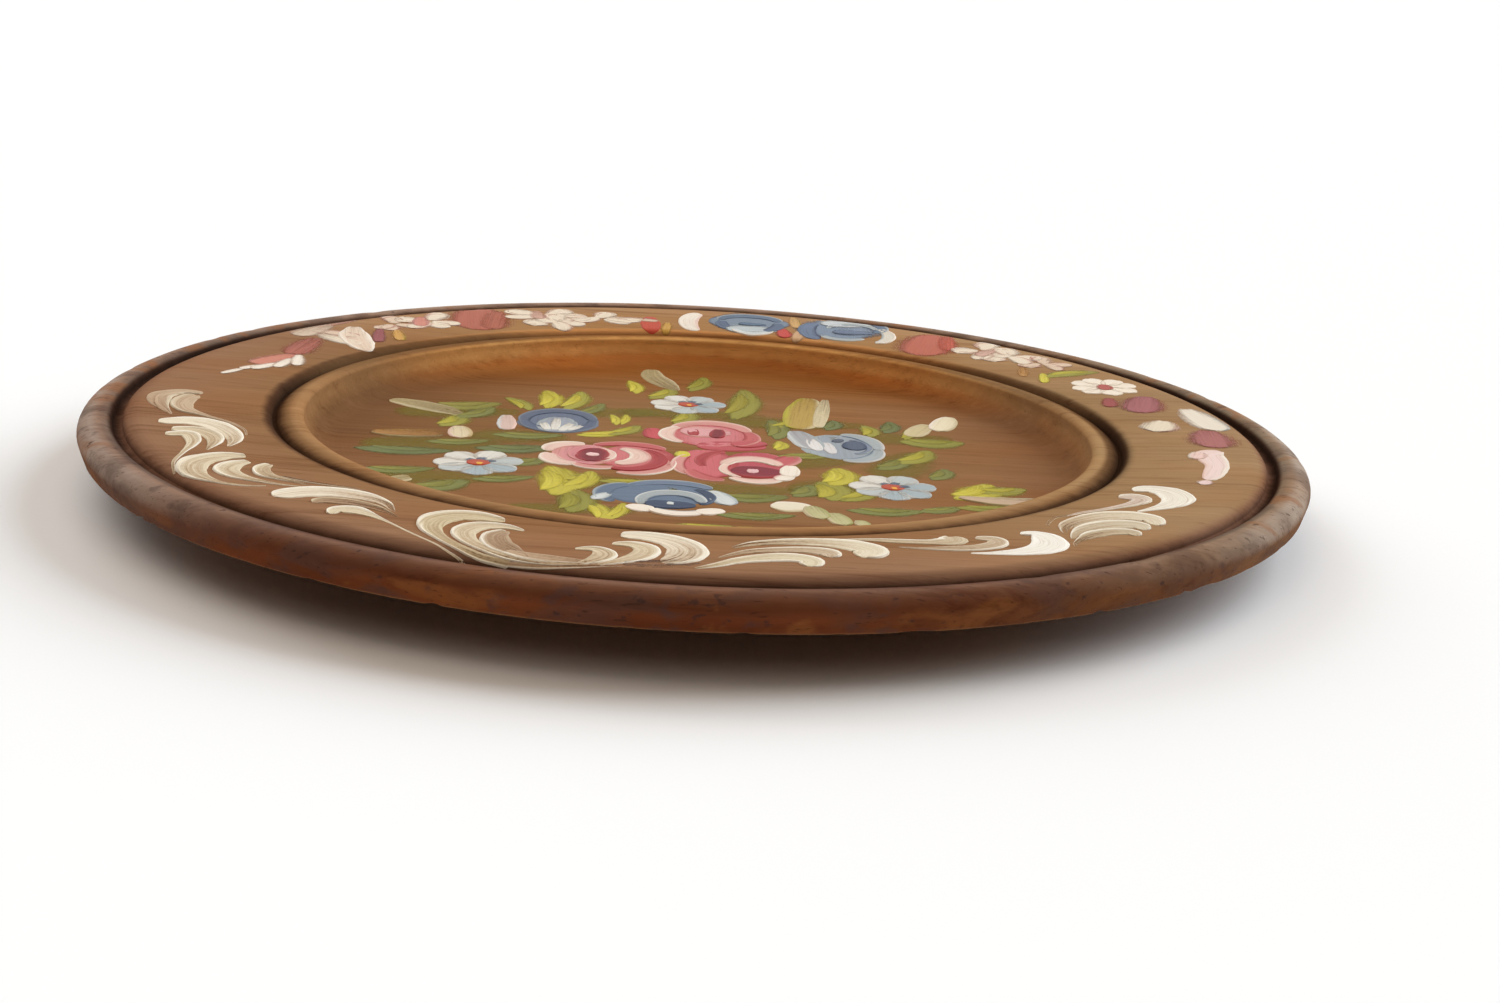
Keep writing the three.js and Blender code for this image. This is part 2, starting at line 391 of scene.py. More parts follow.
def turned_blank():
    profile = face_profile()
    back_profile(profile)
    made = bmesh.new()
    rings = []
    for index, (radius, height) in enumerate(profile):
        if radius == 0:
            rings.append([made.verts.new((0, 0, height * MM))])
            continue
        before, after = profile[index - 1], profile[index + 1]
        tangent = Vector((after[0] - before[0], after[1] - before[1])).normalized()
        ring = []
        for segment in range(TURNING_SEGMENTS):
            turn = 2 * math.pi * segment / TURNING_SEGMENTS
            point = Vector((radius * math.cos(turn), radius * math.sin(turn), height))
            depth = worn_depth(point, radius)
            out = Vector((-tangent.y * math.cos(turn), -tangent.y * math.sin(turn), tangent.x))
            ring.append(made.verts.new((point - out * depth) * MM))
        rings.append(ring)
    for inner, outer in zip(rings, rings[1:]):
        for segment in range(TURNING_SEGMENTS):
            after = (segment + 1) % TURNING_SEGMENTS
            if len(inner) == 1:
                made.faces.new((inner[0], outer[segment], outer[after]))
            elif len(outer) == 1:
                made.faces.new((inner[segment], outer[0], inner[after]))
            else:
                made.faces.new((inner[segment], outer[segment], outer[after], inner[after]))
    return made


def board_between(blank, name, low, high):
    made = blank.copy()
    for height, side in ((low, -1), (high, 1)):
        if abs(height) >= RIM_RADIUS:
            continue
        everything = [*made.verts, *made.edges, *made.faces]
        result = bmesh.ops.bisect_plane(
            made, geom=everything, dist=1e-7, plane_co=(0, height * MM, 0), plane_no=(0, side, 0),
            clear_outer=True,
        )
        edges = [item for item in result["geom_cut"] if isinstance(item, bmesh.types.BMEdge)]
        bmesh.ops.holes_fill(made, edges=edges, sides=0)
    return as_mesh(made, name)


def cylinder_mesh(name, radius, centre, low, high, sides=32):
    made = bmesh.new()
    bmesh.ops.create_cone(
        made, cap_ends=True, segments=sides, radius1=radius * MM, radius2=radius * MM,
        depth=(high - low) * MM, matrix=Matrix.Translation(Vector((*centre, (low + high) / 2)) * MM),
    )
    return as_mesh(made, name)


def bored(mesh, name):
    """A mesh with the screws' two holes through it."""
    for y, _ in SCREWS.values():
        low, high = (BACK_HEIGHT + level for level in BORE_LEVELS)
        bore = cylinder_mesh("bore", SCREW_HOLE_RADIUS, (0, y), low, high)
        mesh = cut(mesh, bore, name)
    return mesh


def make_boards(wood):
    blank = turned_blank()
    for place, board in enumerate(("bottom", "lower", "middle", "upper", "top")):
        seam = (place - 2.5) * BOARD_WIDTH
        mesh = board_between(blank, board, seam, seam + BOARD_WIDTH)
        if board == "top":
            mesh = bored(mesh, board)
        shade_smooth(mesh)
        piece = new_piece("turned_" + board + "_board", mesh, "plate", wood)
        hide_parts(board + "_board")
    blank.free()


# The brass hanger
def skinned(stations, name):
    """A closed skin over rings of points that follow one another."""
    made = bmesh.new()
    rings = [[made.verts.new(Vector(point) * MM) for point in station] for station in stations]
    for before, after in zip(rings, rings[1:]):
        for side in range(len(before)):
            other = (side + 1) % len(before)
            made.faces.new((before[side], before[other], after[other], after[side]))
    made.faces.new(rings[0])
    made.faces.new(rings[-1])
    bmesh.ops.recalc_face_normals(made, faces=made.faces)
    return as_mesh(made, name)


def strap_section(half_width, thickness):
    """Points round the strap's section, across its width and through its thickness, with eased edges."""
    ease = min(STRAP_EASE, thickness / 2 - 0.02)
    section = []
    for across, through, start in ((1, 1, 0), (-1, 1, 90), (-1, -1, 180), (1, -1, 270)):
        for step in range(5):
            turn = math.radians(start + 22.5 * step)
            section.append((
                across * (half_width - ease) + ease * math.cos(turn),
                through * (thickness / 2 - ease) + ease * math.sin(turn),
            ))
    return section


def rolled_strap():
    middle = KNUCKLE_RADIUS - STRAP_THICKNESS / 2
    half = STRAP_WIDTH / 2
    tail = KNUCKLE_Y - STRAP_REACH + half
    level = KNUCKLE_Z + middle
    line = []

    # The tail's round end, the straight leaf, and the roll with a slightly thinner last end
    for angle in (7, 12, 18, 26, 36, 48, 62, 76, 90):
        turn = math.radians(angle)
        thickness = STRAP_THICKNESS * min(1, 0.55 + angle / 50)
        line.append((tail - half * math.cos(turn), level, (0, 1), half * math.sin(turn), thickness))
    for step in range(1, 10):
        line.append((tail + (KNUCKLE_Y - tail) * step / 10, level, (0, 1), half, STRAP_THICKNESS))
    for step in range(49):
        turn = math.radians(90 - KNUCKLE_WRAP * step / 48)
        out = (math.cos(turn), math.sin(turn))
        thickness = STRAP_THICKNESS * (0.7 if step == 48 else 1)
        line.append((KNUCKLE_Y + middle * out[0], KNUCKLE_Z + middle * out[1], out, half, thickness))
    stations = []
    for y, z, out, half_width, thickness in line:
        section = strap_section(half_width, thickness)
        stations.append([
            (across, y + out[0] * through, z + out[1] * through) for across, through in section
        ])
    return bored(skinned(stations, "strap"), "strap")


def bent_wire():
    """The ring's wire, from one butted end in the knuckle round to the other."""
    half = [(RING_END_GAP / 2, 0)]
    for step in range(8):
        turn = math.radians(90 - 90 * step / 7)
        half.append((
            RING_HALF_WIDTH - RING_CORNER + RING_CORNER * math.cos(turn),
            -RING_CORNER + RING_CORNER * math.sin(turn),
        ))
    shoulder = -RING_CORNER - RING_LEG
    for step in range(1, 25):
        turn = math.radians(-90 * step / 24)
        deep = (RING_REACH + shoulder) * math.sin(turn)
        half.append((RING_HALF_WIDTH * math.cos(turn), shoulder + deep))
    line = half + [(-x, down) for x, down in reversed(half[:-1])]
    stations = []
    for index, (x, down) in enumerate(line):
        before, after = line[max(0, index - 1)], line[min(len(line) - 1, index + 1)]
        way = Vector((after[0] - before[0], after[1] - before[1])).normalized()
        radius = WIRE_RADIUS - (WIRE_END_EASE if index in (0, len(line) - 1) else WIRE_PLAY)
        ring = []
        for side in range(24):
            turn = 2 * math.pi * side / 24
            lean = radius * math.cos(turn)
            height = KNUCKLE_Z + down + way.x * lean
            ring.append((x - way.y * lean, KNUCKLE_Y + radius * math.sin(turn), height))
        stations.append(ring)
    return skinned(stations, "wire")


def slotted_screw(y, slot_angle):
    seat = BACK_HEIGHT - STRAP_THICKNESS
    arris = 0.06
    neck = seat + SHANK_LENGTH
    profile = [(0, seat - HEAD_HEIGHT)]
    quarter(profile, HEAD_RADIUS, seat - arris, True, 10)
    profile += [
        (HEAD_RADIUS - arris, seat), (SHANK_RADIUS, seat), (SHANK_RADIUS, neck), (0, neck + POINT_LENGTH),
    ]
    stations = []
    for radius, height in profile:
        turns = [2 * math.pi * side / 40 for side in range(40)]
        radius = max(radius, 0.012)
        stations.append([(radius * math.cos(turn), y + radius * math.sin(turn), height) for turn in turns])
    slot = bmesh.new()
    size = Matrix.Diagonal((SLOT_WIDTH * MM, 3 * HEAD_RADIUS * MM, 1.0 * MM, 1))
    place = Matrix.Translation(Vector((0, y, seat - HEAD_HEIGHT)) * MM)
    turn = Matrix.Rotation(math.radians(slot_angle), 4, "Z")
    bmesh.ops.create_cube(slot, size=1, matrix=place @ turn @ size)
    return cut(skinned(stations, "screw"), as_mesh(slot, "slot"), "screw")


def make_hanger(brass, wire):
    pieces = [("rolled_strap", rolled_strap(), "plate", brass, "hanger_strap", "aged_brass")]
    for node, (y, slot_angle) in SCREWS.items():
        pieces.append(("slotted_" + node, slotted_screw(y, slot_angle), "plate", brass, node, "aged_brass"))
    pieces.append(("bent_wire_ring", bent_wire(), "hanging_ring", wire, "hanger_ring", "brass_wire"))
    for name, mesh, body, material, node, slot in pieces:
        shade_smooth(mesh, 40)
        piece = new_piece(name, mesh, body, material)
        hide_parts(node)


def brass_finish(name, clean, tarnished, spots, polish):
    """Brass in three tones; the lower its polish value, the more it shines."""
    finish = Finish(name)
    place = finish.place()
    cloud = finish.cloud(place, (0.5, 0.5, 0.5), 4, 0.4)
    speck = finish.cloud(place, (2.2, 2.2, 2.2), 3, shift=(4, 9, 2))
    drawn = finish.cloud(place, (0.8, 5, 5), 2)
    spot = speck.between(0.58, 0.72)
    colour = finish.layered(linear(*clean), (cloud.between(0.38, 0.66), tarnished), (spot * 0.75, spots))
    finish.shade(
        Base_Color=colour, Metallic=1 - spot * 0.45, Roughness=polish + (cloud - 0.5) * 0.3 + spot * 0.25,
        Normal=finish.bump(speck * 0.5 + drawn * 0.4, 0.35, 0.00008),
    )
    return finish.material


# Tones of the turned face by radius, at its near edge and at its far side. Both are darkest in the quirk and
# the groove, partly dirt and partly painted shade, and the bead's top is paler and greyer, partly dirt and
# partly painted sheen. The far tones are painted lighter as light and sheen, brightest on the far cove and
# the top of the lip.
NEAR_TONES = (
    (0, (146, 108, 71)), (80, (143, 104, 71)), (FLOOR_RADIUS, (137, 98, 68)), (105, (136, 97, 66)),
    (MOUTH_RADIUS, (160, 117, 77)), (LIP_TOP_RADIUS, (166, 126, 86)), (QUIRK_RADIUS - 2.6, (146, 108, 73)),
    (QUIRK_RADIUS - 0.9, (84, 58, 39)), (QUIRK_RADIUS + 0.5, (56, 38, 27)),
    (BRIM_INNER_RADIUS - 1.6, (88, 61, 44)), (BRIM_INNER_RADIUS, (146, 108, 75)), (135, (150, 111, 80)),
    (BRIM_OUTER_RADIUS - 1, (150, 112, 84)), (GROOVE_RADIUS - 1.2, (144, 106, 82)),
    (GROOVE_RADIUS + 0.2, (114, 82, 65)), (GROOVE_RADIUS + 1.2, (72, 50, 40)),
    (GROOVE_RADIUS + 2.2, (45, 31, 24)), (GROOVE_RADIUS + 3.5, (62, 42, 33)),
    (BEAD_TOP_RADIUS - 0.8, (106, 77, 62)), (BEAD_TOP_RADIUS + 0.5, (144, 110, 90)), (162, (118, 80, 58)),
    (RIM_RADIUS, (94, 50, 28)),
)
FAR_LIT_TONES = (
    (0, (146, 103, 60)), (85, (143, 91, 48)), (FLOOR_RADIUS, (146, 91, 44)),
    (FLOOR_RADIUS + 3, (162, 101, 50)), (FLOOR_RADIUS + 5, (184, 116, 59)),
    (FLOOR_RADIUS + 7, (204, 127, 64)), (MOUTH_RADIUS, (252, 190, 116)),
    (LIP_TOP_RADIUS - 0.9, (176, 122, 70)), (LIP_TOP_RADIUS + 0.3, (138, 92, 49)),
    (QUIRK_RADIUS - 1.5, (126, 84, 47)), (QUIRK_RADIUS + 0.5, (150, 104, 60)),
    (BRIM_INNER_RADIUS - 1.6, (212, 148, 90)), (BRIM_INNER_RADIUS + 0.6, (168, 126, 84)),
    (135, (168, 128, 88)), (BRIM_OUTER_RADIUS - 1, (174, 136, 100)), (GROOVE_RADIUS - 0.8, (148, 112, 82)),
    (GROOVE_RADIUS + 1.4, (66, 46, 34)), (GROOVE_RADIUS + 2.8, (84, 60, 46)),
    (BEAD_TOP_RADIUS - 1.5, (150, 118, 98)), (BEAD_TOP_RADIUS + 0.5, (168, 140, 120)), (162, (134, 98, 75)),
    (RIM_RADIUS, (98, 56, 34)),
)

# The radius up to which those tones run
TONE_REACH = 170


class StainedWood(Finish):
    """Stained wood: the colour follows the turning, with painted light and shade in it.

    Streaks, flecks and dirt lie over it.
    """

    def __init__(self, name):
        super().__init__(name)
        place = self.place()
        split = "ShaderNodeSeparateXYZ"
        self.x, self.y, self.z = (self.node(split, {}, {0: place}, axis) for axis in range(3))
        self.radius = (self.x * self.x + self.y * self.y) ** 0.5
        self.rim = self.radius.between(156.5, 158)
        self.lowest = self.y.between(-90, -148)

        # Along the grain, from broad bands to single pores
        self.broad = self.cloud(place, (0.004, 0.07, 0.12), 4, 0.6)
        self.streak = self.cloud(place, (0.014, 0.45, 0.5), 5, 0.3, roughness=0.62)
        self.fibre = self.cloud(place, (0.06, 2.4, 2.4), 3)
        self.pores = self.cloud(place, (0.16, 1.5, 1.5), 2, shift=(7, 3, 1)).between(0.63, 0.74) * 0.55

        # In patches, and where hands and dust have been
        self.patch = self.cloud(place, (0.018, 0.03, 0.05), 3, shift=(30, 11, 5))
        self.mottle = self.cloud(place, (0.16, 0.22, 0.22), 4)
        self.handled = self.cloud(place, (0.04, 0.05, 0.09), 5, 0.9, shift=(12, 40, 3))
        self.pits = self.cloud(place, (0.3, 0.38, 0.45), 3, shift=(9, 1, 6)).between(0.64, 0.73)
        self.grime = self.cloud(place, (0.12, 0.14, 0.2), 5, shift=(2, 17, 9)).between(0.58, 0.72)

    def ring(self, start, full, fading, end):
        """A band round the axis, nought up to one radius, one from the second to the third."""
        return self.radius.between(start, full) * self.radius.between(end, fading)

    def turned_tones(self, tones):
        wandering = self.radius + (self.mottle - 0.5) * 1.6 + (self.patch - 0.5) * 1.2
        stops = [(reach / TONE_REACH, linear(*tone)) for reach, tone in tones]
        return self.node("ShaderNodeValToRGB", {"stops": stops}, {"Fac": wandering / TONE_REACH})

    def face(self):
        """The tones that follow the turning, with painted light and shade laid over them.

        The near edge is darker, much of it painted shade, and the far side and the right are painted lighter
        where light and sheen fall.
        """
        x, y, rim = self.x, self.y, self.rim
        far = (y - self.radius.between(107.5, 111) * 20).between(38, 96)
        quirk = self.ring(110.8, 112.6, 116.6, 118.4)
        brim = self.ring(106, 109, 151, 153.5) * (1 - quirk)
        # Painted shade in the quirk at the sides of the face, full on the right and lighter on the left.
        sides = x.between(80, 102) + x.between(-80, -102) * 0.35
        shaded_quirk = quirk * sides * y.between(-70, -28) * y.between(48, 22)
        # Painted shade over the far lip and quirk, on both flanks of the far side.
        lip = self.ring(107.6, 109.6, 117.6, 119) * y.between(8, 50) * (y + x * 0.12).between(106, 84)
        # Painted shade over the left of the well.
        shaded_left_well = self.radius.between(109, 106) * x.between(-25, -95) * y.between(-50, 10)
        # Painted shade on the outer groove and its shoulder at the near edge.
        shaded_near_groove = self.ring(148, 152, 153, 156) * self.lowest
        # Painted sheen on the bead's outer slope at its left and right ends.
        ends = x.between(105, 152) + x.between(-95, -150)
        sheen_ends = ends * self.radius.between(159.5, 162) * y.between(60, 0)
        # Painted shade on the bead's inner slope at its near left and right.
        bead_ends = (x.between(-60, -90) + x.between(90, 115)) * y.between(-55, -78)
        shaded_inner_bead = self.ring(155.2, 156.4, 158.2, 159.6) * bead_ends
        tone = self.layered(
            self.mixed(far, self.turned_tones(NEAR_TONES), self.turned_tones(FAR_LIT_TONES)),
            # Painted sheen: the brim lighter and yellower towards the right.
            (brim * x.between(30, 130) * 0.45, (176, 147, 106)),
            (shaded_quirk * 0.55, (46, 32, 22)),
            (lip * 0.7, (116, 85, 56)),
        )
        tone = self.layered(tone, (shaded_left_well * 0.5, (196, 190, 176)), blend="MULTIPLY")
        return self.layered(
            tone,
            (shaded_near_groove * 0.4, (66, 40, 28)),
            (rim * self.lowest * 0.35, (96, 52, 34)),
            # Painted light: the rim paler and greyer away from the near edge.
            (rim * self.lowest.between(1, 0.2) * 0.3, (166, 142, 122)),
            # Painted sheen on the right of the rim.
            (rim * x.between(50, 140) * 0.35, (152, 136, 108)),
            (sheen_ends * 0.5, (196, 180, 166)),
            (shaded_inner_bead * 0.5, (72, 51, 43)),
        )

    def side(self):
        # The side's red-brown is partly stain and partly painted shade, darkest at the near edge and paler
        # away from it.
        return self.layered(
            linear(98, 46, 22),
            (self.patch.between(0.35, 0.7), (124, 68, 36)),
            (self.lowest.between(0.8, 0) * 0.5, (132, 104, 84)),
            (self.x.between(20, 110) * 0.5, (128, 88, 52)),
        )

    def back(self):
        """The bare back, where each board has its own tone."""
        board = (self.y / BOARD_WIDTH + 0.5).floor()
        plank = self.node("ShaderNodeTexWhiteNoise", {"noise_dimensions": "1D"}, {"W": board + 3.3})
        return self.layered(
            linear(128, 88, 58),
            (self.patch.between(0.3, 0.7), (150, 108, 74)),
            (plank * 0.6, (112, 74, 48)),
        )

    def dress(self):
        """Lays the face, the side and the back together, then the wear, the grain and the dirt over them."""
        rim, pores = self.rim, self.pores
        outside = self.z.between(18.6, 15.5) * self.radius.between(160.5, 162.5)
        behind = (self.z - self.radius.between(103, 113) * 5.6).between(7.2, 6.6)
        dark_hands, rubbed = self.handled.between(0.5, 0.66), self.handled.between(0.47, 0.36)
        grain = (self.streak - 0.5) * 1.5 + (self.broad - 0.5) * 1.3 + (self.fibre - 0.5) * 0.55
        colour = self.layered(
            self.mixed(outside, self.face(), self.side()),
            (rim * dark_hands * 0.5, (84, 62, 54)),
            (rim * rubbed * 0.5, (146, 90, 46)),
            (rim * self.pits * 0.6, (58, 42, 40)),
        )
        colour = self.layered(
            self.mixed(behind, colour, self.back()),
            (self.patch.between(0.42, 0.72) * 0.3, (255, 222, 184)),
            (grain.between(0.0, -0.62) * 0.5, (160, 126, 108)),
            (grain.between(0.0, 0.62) * 0.32, (312, 316, 330)),
            blend="MULTIPLY",
        )
        colour = self.layered(
            colour,
            (pores * (0.35 + 0.65 * rim), (52, 32, 24)),
            (self.grime * rim * 0.55, (78, 58, 54)),
        )
        turning = (self.radius * 5.2).sine()
        relief = self.streak * 0.5 + self.fibre * 0.35 + self.mottle * 0.4 - pores * 0.5 + turning * 0.04
        rough = 0.56 + (self.mottle - 0.5) * 0.3 + (self.streak - 0.5) * 0.25 - rim * 0.06
        self.shade(
            Base_Color=colour, Roughness=rough, Normal=self.bump(relief, 0.5, 0.00022),
            Specular_IOR_Level=0, Coat_Weight=rim * 0.1, Coat_Roughness=0.42,
        )
        return self.material


# Brushed paint
DAISY_WHITE = (226, 220, 210)
EMBER = (176, 82, 60)
DEEP_CRIMSON = (116, 40, 46)
CRIMSON = (160, 60, 62)
ROSE = (186, 96, 94)
PINK = (206, 144, 134)
BLUSH = (226, 192, 176)
FRINGE = (236, 222, 204)
DEEP_BLUE = (58, 68, 88)
BLUE = (94, 108, 126)
MIST = (162, 168, 168)
FROST = (206, 208, 204)
OLIVE = (128, 116, 48)
DARK_LEAF = (98, 106, 64)
LEAF = (132, 128, 56)
LIME = (178, 166, 58)
LEMON = (206, 192, 70)
TITANIUM = (242, 232, 212)
CREAM = (216, 199, 168)
THIN_CREAM = (182, 156, 126)
BEIGE = (194, 167, 136)

# How much paint a stroke has at its start and its end
THICK = (1.2, 1)
THICKEST = (1.2, 1.1)
STEADY = (1.1, 1)
THIN = (0.8, 0.5)


class Painting:
    """Brush strokes that go into one piece, each a thin sheet that lies on the turned face.

    A layer says how many coats lie under a stroke, and so how high it stands.
    """

    # The brush's width at places along a dab
    ROUND = ((-0.5, 0.66), (-0.2, 1), (0.15, 0.95), (0.5, 0.46))
    POINTED = ((-0.5, 0.1), (-0.22, 0.8), (0.08, 1), (0.34, 0.6), (0.5, 0.06))

    # Places across a stroke, the gap of those along it, and how far its width wavers
    COLUMNS = (-1, -0.93, -0.8, -0.62, -0.42, -0.2, 0, 0.2, 0.42, 0.62, 0.8, 0.93, 1)
    STEP = 0.8
    WAVER = 0.06

    # Lift of the first paint and of each layer on it, and what a stroke's middle and ripples add
    FIRST_LIFT = 0.06
    LAYER_LIFT = 0.045
    CROWN = 0.02
    RIPPLE = 0.05

    # The width that carries the full height, the share lost along the way, and the border's dip into the wood
    FULL_WIDTH = 2.5
    SINKING = 0.45
    DIP = 0.06

    # Paint that a ridge adds, and how much of a soft edge's loss the two ends have too
    RIDGE_LOAD = 0.5
    END_LOSS = 0.6

    def __init__(self):
        self.points = []
        self.faces = []
        self.tones = []
        self.brushes = []
        self.covers = []
        self.count = 0

    def stroke(self, path, left, body, right, ridges=(0.1, 0.3), cover=(1, 0.7), lift=0.1, soft=0):
        """Paints along (x, y, width) points from the brush's landing to its lifting.

        left, body and right are the colours across it, seen along its way, and ridges the heights that its
        two edges add. cover is how much paint there is at its start and its end, and soft how much of it
        its edges lose.
        """
        self.count += 1
        seed = self.count * 1.37
        stations = rounded_path(path, self.STEP)
        length = stations[-1][4]
        first = len(self.points)
        left, body, right = linear(*left), linear(*body), linear(*right)
        for x, y, side, width, reach in stations:
            share = reach / length
            half = width / 2 * (1 + self.WAVER * noise.noise(Vector((reach * 0.35, seed, 0))))
            load = cover[0] + (cover[1] - cover[0]) * share
            thin = min(1, width / self.FULL_WIDTH) * (1 - self.SINKING * share)
            for column in self.COLUMNS:
                edge = abs(column)
                tone, ridge = (left, ridges[0]) if column < 0 else (right, ridges[1])
                shift = column * half
                px, py = x + side[0] * shift, y + side[1] * shift
                ripple = noise.noise(Vector((reach * 0.12, shift * 1.3, seed)))
                bead = smooth(0.45, 0.9, edge) * ridge
                rise = (lift + self.CROWN * (1 - edge) + bead + self.RIPPLE * ripple) * thin
                if edge == 1 or reach == 0 or reach == length:
                    rise = -self.DIP
                self.points.append((px * MM, py * MM, (face_height(math.hypot(px, py)) + rise) * MM))
                self.tones.append(blended(body, tone, smooth(0.5, 0.92, edge + 0.2 * ripple)))
                self.brushes.append((reach, shift, seed * 9))
                heavy = self.RIDGE_LOAD * smooth(0.5, 0.9, edge) * min(1, ridge * 4) * (1 - 0.5 * share)
                fade = max(smooth(0.3, 1, edge), self.END_LOSS * smooth(0.8, 1, abs(2 * share - 1)))
                self.covers.append((load + heavy - soft * fade,))
        across = len(self.COLUMNS)
        for row in range(len(stations) - 1):
            for column in range(across - 1):
                corner = first + row * across + column
                self.faces.append((corner, corner + across, corner + across + 1, corner + 1))

    def layer_stroke(self, path, tones, ridges, cover, layer, soft):
        """A stroke in one tone or three, lifted by the layers of paint that lie under it."""
        left, body, right = tones if isinstance(tones[0], tuple) else (tones, tones, tones)
        self.stroke(path, left, body, right, ridges, cover, self.FIRST_LIFT + self.LAYER_LIFT * layer, soft)

    def dab(self, x, y, length, width, angle, tones, bend=0, layer=1, cover=(1, 0.75), ridges=(0.05, 0.05),
            soft=0.12, spreads=ROUND):
        """A short pressed stroke through a point, its length turned from +X by an angle in degrees."""
        turn = math.radians(angle)
        path = []
        for along, spread in spreads:
            across = bend * (0.25 - along * along) * 4
            path.append((
                x + math.cos(turn) * along * length - math.sin(turn) * across,
                y + math.sin(turn) * along * length + math.cos(turn) * across,
                width * spread,
            ))
        self.layer_stroke(path, tones, ridges, cover, layer, soft)

    def coat(self, x, y, length, width, angle, tones, cover=(1, 0.9)):
        """A broad dab that later ones are laid on."""
        self.dab(x, y, length, width, angle, tones, layer=0, cover=cover)

    def arc(self, x, y, across, deep, start, end, width, *tones, layer=2, cover=(1, 0.8), ridges=(0.03, 0.12),
            soft=0.1):
        """A curved petal stroke round a point, from one angle on to a greater one.

        It is widest in its middle, and its tones run from its inner edge to its outer one.
        """
        path = []
        for step in range(7):
            share = step / 6
            full = 0.35 + 0.65 * math.sin(math.pi * (0.12 + 0.78 * share))
            path.append((*around(x, y, across, deep, start + (end - start) * share), width * full))
        self.layer_stroke(path, tones, ridges, cover, layer, soft)

    def leaf(self, x, y, length, width, angle, dark, light):
        """A leaf in two pressed strokes, the lighter one laid wet over the darker one's upper side."""
        bend = width * (0.22 if self.count % 2 else -0.22)
        tones = (dark, blended(dark, light, 0.35), blended(dark, light, 0.7))
        self.dab(x, y, length * 1.16, width * 1.4, angle, tones, bend, 0, (1, 0.7), (0, 0), 0.85,
                 self.POINTED)
        x, y = around(x, y, width * 0.16, width * 0.16, angle + 90)
        self.dab(x, y, length * 0.8, width * 0.75, angle - 5, light, bend, 1, (0.9, 0.6), (0, 0), 0.8,
                 self.POINTED)

    def daisy(self, x, y, reach, petals, shade):
        """Petals at angles round a point, with tones of their own, and an eye."""
        for angle, tone in petals:
            middle = around(x, y, reach * 0.6, reach * 0.66, angle)
            edges = blended(tone, DAISY_WHITE, 0.6)
            self.dab(*middle, reach * 0.84, reach * 0.74, angle + 180, (edges, tone, edges), layer=2,
                     ridges=(0.08, 0.08), soft=0.4)
        for angle, _ in petals[1:4]:
            middle = around(x, y, reach * 0.26, reach * 0.34, angle + 8)
            self.dab(*middle, reach * 0.44, reach * 0.22, angle, shade, layer=3, cover=(0.75, 0.5), soft=0.2)
        self.dab(x, y, reach * 0.56, reach * 0.44, 8, (EMBER, EMBER, (200, 84, 56)), layer=5, cover=THICK)
        self.dab(x + reach * 0.05, y - reach * 0.1, reach * 0.26, reach * 0.2, 10, (222, 164, 70), layer=6,
                 cover=THICK)

    def into_piece(self, name, material):
        mesh = bpy.data.meshes.new(name)
        mesh.from_pydata(self.points, [], self.faces)
        for label, kind, field, values in (
            ("pigment", "FLOAT_COLOR", "color", self.tones),
            ("brush", "FLOAT_VECTOR", "vector", self.brushes),
            ("cover", "FLOAT", "value", self.covers),
        ):
            attribute = mesh.attributes.new(label, kind, "POINT")
            attribute.data.foreach_set(field, [number for value in values for number in value])
        shade_smooth(mesh, 180)
        new_piece(name, mesh, "plate", material)


def curved(a, b, c, d, share):
    """A value between b and c on the smooth curve through a, b, c and d."""
    square = (2 * a - 5 * b + 4 * c - d) * share * share
    cube = (3 * b - a - 3 * c + d) * share**3
    return 0.5 * (2 * b + (c - a) * share + square + cube)


def rounded_path(path, step):
    """Even stations along a smooth curve through the points, with round ends.

    Each is x, y, the way to its right side, its width and its distance from the start.
    """
    fine = []
    last = len(path) - 1
    for index in range(last):
        p0, p1, p2, p3 = (path[min(last, max(0, index + shift))] for shift in (-1, 0, 1, 2))
        for part in range(12):
            fine.append(tuple(curved(*values, part / 12) for values in zip(p0, p1, p2, p3)))
    fine.append(tuple(path[-1]))
    reaches = [0]
    for before, after in zip(fine, fine[1:]):
        reaches.append(reaches[-1] + math.dist(before[:2], after[:2]))
    length = reaches[-1]
    head, tail = path[0][2] / 2, path[-1][2] / 2

    # Closer stations where the ends round off
    wanted = [0, 0.08 * head, 0.25 * head, 0.5 * head]
    steps = max(4, round(length / step))
    even = [length * part / steps for part in range(steps + 1)]
    wanted += [reach for reach in even if 0.6 * head < reach < length - tail]
    wanted += [length - 0.6 * tail, length - 0.2 * tail, length]
    stations = []
    place = 0
    for reach in wanted:
        while place < len(fine) - 2 and reaches[place + 1] < reach:
            place += 1
        share = (reach - reaches[place]) / max(1e-6, reaches[place + 1] - reaches[place])
        x, y, width = blended(fine[place], fine[place + 1], min(1, max(0, share)))
        low, high = max(0, place - 1), min(len(fine) - 1, place + 2)
        way = Vector((fine[high][0] - fine[low][0], fine[high][1] - fine[low][1])).normalized()
        for gap, end in ((reach, head), (length - reach, tail)):
            if gap < end:
                width *= math.sqrt(max(0.004, 1 - (1 - gap / end) ** 2))
        stations.append((x, y, (way.y, -way.x), max(width, 0.12), reach))
    return stations


def thin_glaze():
    """Paint wiped so thin that the wood shows through it."""
    finish = Finish("thin green glaze")
    cover = finish.attribute("cover", "Fac")
    mottle = finish.cloud(finish.place(), (0.22, 0.3, 0.3), 4)
    finish.shade(
        Base_Color=finish.attribute("pigment", "Color"), Specular_IOR_Level=0.05,
        Alpha=(cover + (mottle - 0.5) * 0.5).between(0.05, 1.0) * 0.6,
        Roughness=0.55 + (mottle - 0.5) * 0.1,
    )
    return finish.material


